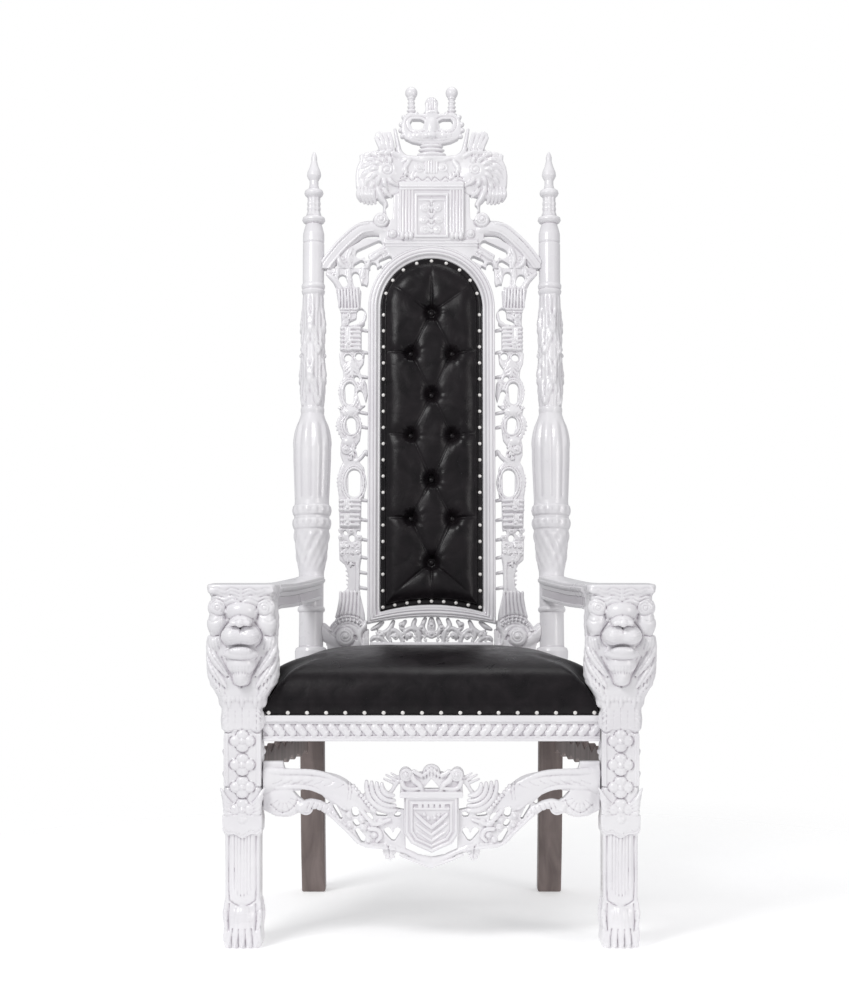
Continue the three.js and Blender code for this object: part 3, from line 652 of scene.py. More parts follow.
def carve_face(work):
    """A lion's face: ringed eyes under a low brow, a broad nose, wide flat lips and a round beard."""
    eye = 655

    def line(points, width, depth, front):
        score(work, [(side * x, z) for x, z in points], width, depth, front=front)

    work.add(blob((0, -50, 672), (54, 17, 22)), 10)
    for side in (-1, 1):
        work.add(blob((side * 44, -50, eye), (21, 14, 20)), 6)
        work.add(blob((side * 47, -44, 624), (20, 19, 22)), 6)
        work.add(blob((side * 50, -42, 588), (15, 15, 17)), 5)
    work.add(blob((0, -56, 648), (30, 22, 22)), 7)
    work.add(blob((0, -67, 629), (22, 19, 13)), 5)
    work.add(blob((0, -62, 603), (39, 25, 20)), 7)
    for side in (-1, 1):
        work.add(blob((side * 17, -70, 602), (19, 22, 16)), 9)
        work.add(blob((side * 11, -86, 626), (10, 8, 7)), 3)
    work.add(blob((0, -90, 626), (9, 8, 9)), 2)
    # lower jaw, row of teeth and beard with a rounded foot
    work.add(blob((0, -62, 566), (34, 23, 13)), 5)
    work.add(blob((0, -56, 546), (29, 23, 20)), 6)
    work.add(blob((0, -55, 523), (17, 20, 19)), 4)
    arch = [(-28, 575), (-16, 582), (0, 585), (16, 582), (28, 575)]
    work.vine([(x, -88, z) for x, z in arch], [2.2, 2.8, 2.6, 2.8, 2.2], 0.8, cut=True, steps=14, deep=7)
    work.add(blob((0, -75, 573), (23, 13, 9)), 2)
    for k in range(-3, 4):
        work.add(blob((5.6 * k, -84 + 0.25 * k * k, 577 - 0.3 * k * k), (2.8, 3, 4)), 0.6)
    for side in (-1, 1):
        work.add(bone((side * 22, -88, 583), (side * 21.5, -88, 575), 2.4, 1.2), 0.6)
        # rings of the eye, brow waves and the crease down beside the nose
        score(work, circle(side * 45, eye, 4.6), 1.2, 1.7, front=-40)
        score(work, circle(side * 45, eye, 10.0, 0.02, 0.6), 1.3, 1.7, front=-30)
        line([(28, eye - 4), (34, eye + 11), (47, eye + 16), (60, eye + 6)], 1.5, 2.0, -30)
        line([(30, eye - 12), (44, eye - 15), (58, eye - 9)], 1.5, 1.8, -30)
        line([(6, 672), (22, 680), (38, 676), (54, 680)], 1.6, 1.6, -30)
        line([(30, 634), (33, 648), (24, 661), (0, 667)], 2.0, 2.2, -30)
        line([(25, 627), (34, 617), (40, 603), (36, 588), (28, 580)], 1.7, 3.4, -40)
        line([(66, 606), (56, 600), (44, 602)], 1.8, 3.0, -20)
        line([(64, 634), (54, 628), (44, 632)], 1.5, 1.4, -20)
        line([(0, 617), (10, 622), (18, 619), (23, 625)], 1.6, 3.2, -60)
        line([(22, 634), (12, 640), (0, 642)], 1.5, 1.6, -50)
        for k in range(5):
            z = 611 - 5 * k
            line([(9 + k, z), (20, z - 2), (33 - k, z + 2)], 1.1, 1.1, -60)
        for k in range(4):
            z = 690 - 7 * k
            line([(4, z), (18, z + 4), (32, z - 2), (46, z + 4), (60, z)], 1.4, 1.5, -30)
        for k in range(3):
            line([(60 - 7 * k, 598 - k), (58 - 7 * k, 586), (54 - 6 * k, 576)], 1.2, 1.4, -20)
        # beard's edge
        line([(38, 560), (31, 545), (20, 524), (14, 508), (0, 503)], 1.9, 3.6, -25)
        for k in range(3):
            line([(3 + 7 * k, 545), (3 + 5 * k, 528), (2 + 2 * k, 512)], 1.0, 1.0, -50)
    score(work, [(0, 617), (0, 609)], 1.3, 2.4, front=-60)
    score(work, [(-30, 562), (-14, 557), (14, 557), (30, 562)], 1.5, 1.6, front=-60)


def carve_rosette(work, z, front, axis=0):
    """A four-petalled flower about a ringed boss, on the front or on a side of the leg."""
    def spot(across, rise, out):
        return (across, front - out, rise) if axis == 0 else (axis * (out - front), across, rise)

    def radii(along, deep, up):
        return (along, deep, up) if axis == 0 else (deep, along, up)

    depth = 5 if axis else 7
    for k in range(4):
        angle = k * math.pi / 2
        c, s = round(math.cos(angle)), round(math.sin(angle))
        work.add(blob(spot(13 * c, z + 11 * s, 0), radii(12 - abs(s), depth, 11 - abs(c))), 0.8)
        for lean in (-1, 1):
            work.add(blob(spot(15.5 * c + 7 * lean * s, z + 13 * s + 7 * lean * c, -1),
                          radii(6.5, depth - 1.5, 6.5)), 0.8)
        work.cut(bone(spot(9 * c, z + 9 * s, depth + 1), spot(21 * c, z + 18 * s, depth - 1.5), 1.2, 0.8),
                 0.6)
    work.cut(blob(spot(0, z, depth + 2), radii(9.5, 4.5, 9.5)), 0.8)
    work.add(blob(spot(0, z, 2), radii(6.6, depth + 1, 6.6)), 0.6)
    if axis == 0:
        edge = []
        for k in range(33):
            angle = k / 16 * math.pi
            reach = 22.5 + 3.2 * math.cos(4 * angle) - 0.8 * math.cos(8 * angle)
            edge.append((reach * math.cos(angle), z + 0.9 * reach * math.sin(angle)))
        score(work, edge, 1.2, 2.2, 48, front=-20)
        score(work, circle(0, z, 3.2), 0.9, 1.0, front=-20)


def carve_leg():
    """One front leg, about its own centre line, with the outer side at +X."""
    work = Field((-80, -112, -4), (80, 76, HEAD_TOP + 4), 1.7)
    half = LEG_HALF
    work.add(tower([
        (0, 0, -3, 36, 42, 6), (14, 0, -3, 37.5, 43, 6), (34, 0, -2, 36, 41, 7), (62, 0, -1, 34.5, 38, 7),
        (84, 0, 0, 34, 35, 9), (216, 0, 0, 34, 35, 9), (221, 0, 0, half - 0.5, half, 9),
        (244, 0, 0, half, half, 9), (258, 0, 0, half - 2, half - 2, 9), (414, 0, 0, half - 2, half - 2, 9),
        (419, 1.5, -1, 39.5, 39.5, 8), (460, 1.5, -1, 39.5, 40, 7), (474, 0, -1, 44, 43, 6),
        (488, 0, -1, 52, 48, 5),
        (502, 0, -1, 59, 51, 5), (516, 0, 0, 62, 53, 5), (604, 0, 2, 62, 54, 5), (650, 0, 1, 62, 55, 5),
        (674, 0, -2, 61, 56, 6), (681, 0, -4, 62, 58, 7), (685, 0, -4, 66, 61, 7), (695, 0, -4, 67.5, 63, 7),
        (HEAD_TOP, 0, -4, 66, 61, 7),
    ]), 1)
    carve_mane(work)
    carve_face(work)
    # waved rim of the cap
    for k in range(7):
        work.add(blob((-54 + 18 * k, -61, 688), (9, 4.5, 6)), 2)
    for side in (-1, 1):
        work.cut(bone((side * 70, -80, 677), (side * 70, 60, 677), 4.5, 4.5), 2)
    # leafy fringe under the mane
    for k in range(-1, 2):
        for lean, reach in ((-8, 474), (0, 464), (8, 473)):
            x = 25 * k + lean
            work.vine([(x * 0.9, -40, 496), (x, -43, 482), (x, -41, reach)], [5, 5.5, 2.6], 1.2, steps=6)
    for side in (-1, 1):
        for k in range(-1, 2):
            work.add(blob((side * 39, 24 * k, 476), (8, 12, 15)), 2)
    # collar: hanging leaves over the plain column
    for k in range(-1, 2):
        leaf(work, [(27 * k, 462), (27 * k, 442), (27 * k, 419)], [7, 12, 4], -39, 2.4, 4, 0.6)
    for side in (-1, 1):
        leaf(work, [(side * 13, 456), (side * 13.5, 438), (side * 13.5, 424)], [3, 6, 2], -39.5, 2.0, 3, 0.6)
        for k in range(-1, 2):
            work.add(blob((side * 37, 25 * k, 438), (5.5, 10, 18)), 1.5)
    score(work, [(-40, 419), (-27, 413), (-14, 420), (0, 413), (14, 420), (27, 413), (40, 419)], 1.4, 2.6,
          front=-20)
    # flowers down the front and the sides, reeds beside them, and sprays of leaf under the third
    for side in (-1, 1):
        for x in (29, 34):
            work.add(bone((side * x, -half + 2.2, 312), (side * x, -half + 2.2, 410), 2.2, 2.2), 0.6)
        for z in (288, 331, 374):
            carve_rosette(work, z, -half + 3.5, side)
    for z in (266, 309, 352, 398):
        carve_rosette(work, z, -half + 2)
    for side in (-1, 1):
        for k in range(4):
            tip = (side * (41 - 2.5 * k), -half + 3, 306 - 12 * k)
            work.vine([(side * 20, -half + 1, 276 - 6 * k), (side * 31, -half - 2, 287 - 9 * k), tip],
                      [3, 4.4, 2.4], 0.8, steps=7)
        score(work, [(side * 39, 308), (side * 27, 309)], 1.5, 2.6, front=-20)
    # cuff with a pointed scallop
    work.add(board([(-38, 256), (38, 256), (38, 226), (28, 219), (16, 219), (0, 210), (-16, 219), (-28, 219),
                    (-38, 226)], -30, -41, 2), 1.2)
    work.add(blob((0, -half, 247), (10, 7, 8)), 1.5)
    for low, depth in ((5, 1.5), (9, 0.9)):
        score(work, [(-37, 226 + low), (-27, 219 + low), (-16, 219 + low), (0, 210 + low), (16, 219 + low),
                     (27, 219 + low), (37, 226 + low)], 1.1, depth, front=-20)
    # sunk round-ended panel with reeds
    for width, bottom, depth in ((26, 80, 3.8), (14, 100, 1.8)):
        rise = [(-width, 214), (-width, bottom + 26), (-width * 0.75, bottom + 7), (0, bottom),
                (width * 0.75, bottom + 7), (width, bottom + 26), (width, 214)]
        score(work, rise, 1.7, depth, 26, front=-20)
    for k in range(-3, 4):
        foot = 96 + 2.2 * k * k
        work.add(bone((6.2 * k, -33.6, foot), (6.2 * k, -34.4, 216), 2.6, 2.6), 0.7)
    # ankle leaves and the paw: a broad instep with the toes parted near the floor
    work.add(blob((0, -33, 40), (27, 17, 42)), 5)
    for side in (-1, 1):
        work.vine([(side * 31, -30, 92), (side * 33, -35, 66), (side * 31, -39, 44), (side * 33, -40, 16)],
                  [3, 5, 4.4, 4.4], 1.5)
        work.vine([(side * 34, 4, 90), (side * 35, 6, 62), (side * 33, 8, 36), (side * 34, 8, 12)],
                  [3, 6, 5, 5], 2)
        score(work, [(side * 25, 84), (side * 26.5, 56), (side * 25, 30), (side * 26, 6)], 1.6, 3.0,
              front=-25)
        for k in range(3):
            score(work, [(side * (37 - k), 78 - 18 * k), (side * 29, 70 - 18 * k)], 1.2, 1.6, front=-20)
        for x in (8, 16):
            score(work, [(side * x * 0.8, 76), (side * x, 52), (side * x * 1.1, 34)], 1.3, 0.9, front=-30)
    for k in range(-2, 3):
        x = 13.4 * k
        reach = 2.4 * abs(k)
        work.add(bone((x * 0.94, -42 + reach, 28), (x, -46 + reach, 12), 6.8, 7.6), 1.6)
        work.add(bone((x, -52 + reach, 9), (x, -55 + reach, 3), 3.2, 1.4), 1.0)
    for x in (-20, -6.7, 6.7, 20):
        score(work, [(x * 0.9, 38), (x, 20), (x, 2)], 1.4, 3.4, front=-30)
    work.cut(brick((-120, -150, -40), (120, 120, 0.2), 0.2), 0.3)
    work.cut(brick((-120, -150, HEAD_TOP - 0.4), (120, 120, HEAD_TOP + 30), 0.2), 0.6)
    return surface(work.value, work.low, work.step)


leg_points, leg_faces = carve_leg()
for word, side in SIDES:
    spot = FRONT_PLACE @ Matrix.Translation((side * LEG_X, LEG_Y, 0))
    piece = make_mesh("lion_leg_" + word, leg_points, leg_faces, place_of(spot, side), keep=0.36)
    dress(piece, "white_paint", "front_leg_" + word)


def mirrored_surface(field):
    """The skin of a carving whose right half is on the grid, which starts at X = 0."""
    value = np.concatenate([field.value[:0:-1], field.value])
    low = field.low.copy()
    low[0] = -(field.value.shape[0] - 1) * field.step
    return surface(value, low, field.step)


def strokes(field, lines, y, radius, soft=1.5, deep=1.0):
    """Several strands of one size."""
    for line in lines:
        vine(field, line, [radius * 0.8] + [radius] * (len(line) - 2) + [radius * 0.6], y, soft,
             4 * len(line), deep)


# ---------- the crest: crowned figure, plumes, supporters, shield and shoulder arches ----------
def carve_crest():
    work = Field((0, -31, SPLIT_V - 2), (248, 20, 1264), 1.6)
    back = 15
    # ball finials on ringed stems
    work.add(blob((46, 0, 1245), (14, 14, 14)), 1)
    work.add(bone((46, 0, 1236), (45, 0, 1188), 6.5, 7.5), 1)
    for z, r in ((1232, 9.5), (1222, 9), (1212, 9.5), (1203, 10.5), (1194, 12)):
        work.add(blob((46, 0, z), (r, r, 4)), 0.8)
    # ribbed cap
    work.add(brick((-14, -12, 1188), (14, 12, 1222), 3), 1)
    work.add(blob((0, 0, 1221), (15, 13.5, 14)), 1.5)
    work.add(blob((0, 0, 1198), (18, 15, 5)), 1.5)
    for x in (0, 5.5, 11):
        score(work, [(x, 1232), (x, 1203)], 1.1, 1.8)
    # the figure's broad mask, with slanted eye openings
    work.add(board([(-20, 1194), (52, 1195), (64, 1186), (69, 1166), (68, 1150), (60, 1135), (44, 1127),
                    (20, 1122),
                    (-20, 1122)], 12, -12, 6), 2)
    work.add(blob((0, -8, 1160), (15, 12, 26)), 4)
    work.add(blob((26, -7, 1143), (24, 10, 12)), 7)
    work.add(blob((0, -13, 1143), (16, 8, 9)), 2)
    work.cut(board([(16, 1176), (26, 1181), (44, 1181), (49, 1172), (43, 1158), (30, 1155), (19, 1160)], 40,
                   -40, 2.5), 1.5)
    for x, z in ((69, 1170), (70, 1156), (63, 1187), (66, 1142), (34, 1194)):
        work.add(blob((x, -4, z), (5.5, 9, 5.5)), 1.2)
    score(work, [(12, 1182), (24, 1187), (46, 1187), (57, 1178), (56, 1164), (48, 1152), (34, 1149),
                 (16, 1152)],
          1.3, 1.8, 34)
    score(work, [(0, 1137), (18, 1135), (36, 1137)], 1.1, 1.2)
    score(work, [(0, 1130), (20, 1129), (38, 1132)], 1.0, 1.0)
    for x in (8, 20, 32, 44):
        score(work, [(x, 1150), (x + 3, 1143), (x + 2, 1138)], 1.0, 1.2)
    # ringed neck and spreading base
    for z, x in ((1119, 27), (1110, 30), (1100, 33), (1090, 44)):
        work.add(blob((0, -2, z), (x, 16, 6)), 1.2)
    work.add(board([(-40, 1096), (40, 1096), (76, 1100), (76, 1030), (-40, 1030)], back, -13, 4), 3)
    # plumes: a spike beside a blunt tuft
    vine(work, [(68, 1090), (76, 1122), (83, 1159)], [6, 5, 3.4], [0, -4, -2], 1.5, 8, 1.6)
    work.add(board([(84, 1096), (90, 1146), (98, 1153), (107, 1149), (117, 1154), (127, 1149), (129, 1138),
                    (122, 1122), (116, 1100)], 13, -11, 4), 1.5)
    for tip, root in (((95, 1148), (88, 1096)), ((107, 1147), (95, 1094)), ((119, 1149), (102, 1094)),
                      ((126, 1138), (110, 1098))):
        middle = ((root[0] + tip[0]) / 2 - 2, (root[1] + tip[1]) / 2)
        vine(work, [root, middle, tip], [4, 5.5, 4], [-8, -11, -8], 1.2, 8)
        score(work, [root, middle, tip], 1.0, 1.3)
    vine(work, [(52, 1086), (66, 1096), (78, 1114)], [9, 8, 5], -2, 2, 8, 1.5)
    # supporters: one rounded mass of curls and locks with a hanging fringe
    work.add(board([(60, 1100), (84, 1106), (108, 1108), (132, 1104), (150, 1105), (163, 1098), (162, 1086),
                    (169, 1070), (172, 1050), (171, 1028), (165, 1006), (156, 994), (124, 996), (100, 1002),
                    (84, 1006), (70, 1010)], back, -11, 5), 2)
    work.add(blob((108, -6, 1056), (48, 15, 40)), 8)
    work.add(blob((100, -16, 1061), (21, 7, 20)), 3)
    score(work, circle(100, 1061, 17, 0.2, 1.6, 26, 0.3), 1.6, 2.0)
    for ring, count, first, last, r in ((28, 8, 118, -112, 5.0), (46, 9, 92, -84, 5.2)):
        for k in range(count):
            angle = math.radians(first + (last - first) * k / (count - 1))
            c, d = math.cos(angle), math.sin(angle)
            turn = angle - 0.32
            root = (103 + (ring - 10) * c, 1058 + (ring - 10) * d)
            bend = (104 + ring * math.cos(turn + 0.2), 1057 + ring * math.sin(turn + 0.2))
            tip = (104 + (ring + 15) * math.cos(turn), 1055 + (ring + 10) * math.sin(turn))
            front = -16 if ring < 40 else -10
            vine(work, [root, bend, tip], [r * 0.8, r, r * 0.5], [front, front - 1, front + 4], 1.4, 8, 1.2)
            score(work, [root, bend, tip], 0.9, 1.1)
    vine(work, [(64, 1088), (92, 1103), (124, 1102), (156, 1098)], [6, 7, 6, 4.5], [-6, -9, -8, -4], 1.5, 14,
         1.2)
    for k in range(5):
        x = 88 + 15 * k
        score(work, [(x, 1108), (x + 5, 1101), (x + 3, 1094)], 1.1, 1.5)
    for k in range(5):
        x = 128 + 8.2 * k
        tip = (x - 1, 986 + 0.9 * (k - 1.4) ** 2)
        vine(work, [(x + 3, 1020), (x + 4, 1004), tip], [4.5, 5.4, 3.2], [-7, -9, -3], 1, 8, 1.5)
        score(work, [(x + 3, 1018), (x + 4, 1004), tip], 0.9, 1.2)
    vine(work, [(118, 1010), (112, 996), (104, 984), (104, 962)], [9, 8, 6, 6], -1, 2, 10, 1.8)
    # drapery between the supporters, and the waved edge over the shield
    volute(work, 27, 1067, 11, -13, 4, 0.2, 1.3)
    for x in (0, 6, 12):
        work.add(bone((x, -13, 1056), (x, -13, 1082), 2.6, 2.6), 0.8)
    vine(work, [(0, 1088), (24, 1084), (46, 1090), (66, 1082)], [5, 5, 5, 4], -10, 1.5, 14, 1.2)
    vine(work, [(50, 1082), (60, 1066), (58, 1050), (70, 1040)], [5, 6, 6, 4], -11, 1.5, 12, 1.2)
    for k in range(4):
        score(work, [(36 + 8 * k, 1058), (40 + 8 * k, 1050), (38 + 8 * k, 1042)], 1.1, 1.4)
    score(work, [(0, 1038), (8, 1046), (20, 1038), (32, 1046), (44, 1038), (56, 1048), (70, 1042)], 1.6, 3.4,
          30)
    score(work, [(0, 1031), (10, 1037), (22, 1030), (34, 1037), (48, 1030), (62, 1038), (76, 1034)], 1.2,
          1.6, 30)
    # shield with fluted side columns on a cup foot
    work.add(board([(-73, 1034), (-73, 912), (-60, 898), (60, 898), (73, 912), (73, 1034)], back, -19), 1)
    for x in (43, 50, 57, 64, 70):
        work.add(bone((x, -18, 916), (x, -18, 1016), 3.2, 3.2), 0.6)
    for x in (46.5, 56, 66):
        work.add(blob((x, -20, 908), (5.4, 7, 9)), 1)
    for z in (1016, 1022):
        work.add(bone((0, -20, z), (71, -20, z), 2.2, 2.2), 0.8)
    work.add(brick((-38, -24, 904), (38, 0, 1006), 2), 0.8)
    work.cut(brick((-32, -60, 910), (32, -21.5, 1000), 1), 0.6)
    for x, z, way in ((14, 972, 1), (17, 945, -1), (13, 922, 1)):
        work.add(blob((x, -21, z), (10, 5, 10)), 1)
        score(work, circle(x, z, 7.5, 0.25, 1.3 * way, 18, 0.35), 1.3, 2.0)
    leaf(work, [(0, 914), (0, 950), (0, 996)], [6, 9, 3], -22, 2.6, 6)
    work.add(bone((0, -22, 990), (28, -22, 990), 2.4, 1.4), 0.8)
    # band over the pad's frame
    work.add(board([(-60, 900), (100, 900), (104, 905), (104, 876), (112, 856), (112, 820), (-60, 820)],
                   back, -15), 1)
    for z, r in ((893, 2.6), (886, 1.6)):
        work.add(bone((0, -15.5, z), (104, -15.5, z), r, r), 0.8)
    # volutes, small rounds and the web behind them
    work.add(board([(70, 1012), (86, 1004), (86, 972), (88, 950), (100, 944), (118, 930), (118, 893),
                    (60, 893)],
                   back, -12), 2)
    work.add(blob((113.6, -2, 946), (20, 17, 20)), 1)
    volute(work, 113.6, 946, 17.5, -15, 9, 0.3, 1.7)
    score(work, circle(113.6, 946, 18.5), 1.4, 2.2)
    work.add(blob((88, -12, 914), (9.5, 9, 9.5)), 1)
    score(work, circle(88, 914, 5.5), 1.2, 2.0)
    work.cut(bone((94, 0, 958), (97, 0, 974), 7, 7, 6), 1.5)
    # shoulder arch with its doubled moulding
    arch = [(112, 926), (136, 929), (160, 924), (184, 905), (206, 883), (226, 858), (240, 838)]
    vine(work, arch, [16, 18, 18, 17.5, 17, 17, 17], 0, 1, 30, 0.95)
    for inward, r in ((-12, 3.4), (-5, 2.6), (9, 2.4)):
        line = [(x - 0.62 * inward, z - 0.78 * inward) for x, z in arch[1:]]
        vine(work, line, [r] * len(line), -14.5, 0.8, 26)
    # pierced network under the arch
    work.add(board([(100, 905), (150, 905), (190, 880), (212, 856), (214, 832), (130, 832), (100, 850)],
                   back, -11), 1.5)
    strokes(work, [[(102, 876), (118, 870), (134, 858), (152, 860)], [(180, 880), (186, 858), (182, 838)],
                   [(144, 858), (143, 846), (146, 836)], [(210, 864), (206, 848), (196, 838)]], -10, 5.0, 2,
                   1.2)
    leaf(work, [(176, 874), (184, 860), (184, 842)], [4, 8, 4], -11, 2.6, 4)
    leaf(work, [(108, 874), (124, 866), (140, 856)], [3, 6, 3], -11, 2.4, 4)
    for x, z in ((147, 852), (198, 856), (104, 868)):
        volute(work, x, z, 7.5, -10, 5, 0.2, 1.2)
    pierce(work, [
        ((160, 869), (119, 891), 11, 8.5), ((168, 841), (158, 847), 7.5, 7.5),
        ((130, 830), (131, 842), 7.5, 7.5),
        ((95, 858), (112, 850), 6, 6.5), ((200, 826), (202, 818), 8, 8), ((145, 858), (146, 862), 5, 5),
    ], 0, 2)
    # clear of the frame, the posts and the side frets; flat behind
    work.cut(brick((-200, -60, 700), (300, 60, SPLIT_V - SPLIT_LAP), 0.2), 0.3)
    clear_frame(work)
    clear_posts(work)
    work.cut(brick((-300, 15.5, 700), (300, 90, 1180), 0.3), 0.5)
    return mirrored_surface(work)


def clear_frame(work):
    """Takes away what would run into the pad's frame."""
    radius = FRAME_HALF + FRAME_GAP
    low = (-radius, -90, 30)

    def distance(x, y, z):
        rise = np.maximum(z - PAD_ARCH_V, 0)
        return (np.sqrt(x * x + rise * rise) + 0 * y - radius).astype(np.float32)

    work.cut((low, (radius, 90, PAD_ARCH_V + radius), distance), 0.3)


def clear_posts(work, radius=24.6):
    """Takes away what would run into the right back post."""
    low = (POST_X - radius, -90, -200)

    def distance(x, y, z):
        across = POST_X - x
        return (np.sqrt(across * across + y * y) + 0 * z - radius).astype(np.float32)

    work.cut((low, (POST_X + radius, 90, 1300), distance), 0.3)


dress(make_mesh("carved_crest", *carve_crest(), BACK_PLACE, keep=0.38), "white_paint", "crest")


# ---------- side frets ----------
def banded_block(work, u0, u1, v0, v1, rows):
    """A block of stacked bands beside a row of upright reeds."""
    middle = (u0 + u1) / 2
    work.add(brick((u0 + 2, -13, v0), (u1 - 2, 12, v1), 2), 1)
    pitch = (v1 - v0) / rows
    for k in range(rows):
        z = v0 + (k + 0.5) * pitch
        work.add(bone((u0 + 3, -12, z), (middle - 2, -12, z + 1), pitch * 0.36, pitch * 0.42, 1.5), 0.8)
        work.add(blob((u1 - 5, -9, z), (6.5, 9, pitch * 0.46)), 1)
    for k in range(3):
        x = middle + 2 + k * 5
        work.add(bone((x, -12, v0 + 4), (x, -12, v1 - 4), 2.6, 2.6, 1.6), 0.6)
    volute(work, middle + 6, v0 + (v1 - v0) * 0.3, 8, -14, 5)


def ring_line(work, u, v, ru, rv):
    """Raised lines round an oval opening."""
    for grow, r in ((0, 2.6), (5.5, 1.8)):
        line = [(x, v + (z - v) * (rv + grow) / (ru + grow)) for x, z in circle(u, v, ru + grow, 0, 1, 20)]
        vine(work, line, [r] * len(line), -10, 0.8, 30)


FRET_EDGES = [
    (838, 236, 140), (822, 236, 142), (806, 222, 142), (790, 214, 146), (784, 214, 158), (750, 204, 160),
    (742, 204, 150), (708, 202, 150), (703, 204, 157), (646, 204, 157), (641, 207, 150), (620, 205, 152),
    (606, 199, 161), (588, 197, 157), (574, 204, 145), (548, 206, 143), (524, 200, 148), (516, 206, 158),
    (505, 203, 164), (490, 208, 158), (468, 208, 157), (446, 200, 160), (434, 203, 168), (412, 203, 166),
    (396, 197, 160), (384, 204, 150), (350, 210, 147), (320, 206, 150), (310, 206, 156), (250, 204, 157),
    (236, 202, 160), (222, 205, 156), (178, 204, 156), (166, 190, 158), (140, 183, 159), (114, 186, 159),
    (102, 203, 158), (60, 210, 148), (36, 214, 146),
]
FRET_OPENINGS = [
    ((201, 813), (196, 802), 9, 8), ((171, 820), (167, 801), 8, 8.5), ((154, 792), (143, 786), 8, 8),
    ((159, 735), (161, 722), 9, 8), ((168, 715), (181, 711), 7, 5), ((187, 633), (187, 632), 8.2, 8.2),
    ((163, 636), (163, 635), 8, 8), ((168, 586), (166, 583), 5.5, 5.5), ((183, 565), (183, 536), 11, 9),
    ((160, 552), (153, 530), 6, 6), ((180, 488), (177, 468), 10.5, 9), ((172, 366), (172, 332), 14, 13.5),
    ((177, 228), (176, 224), 6.5, 6), ((192, 240), (190, 237), 4, 4), ((163, 240), (163, 237), 4, 4),
    ((168, 426), (158, 418), 3, 4),
]


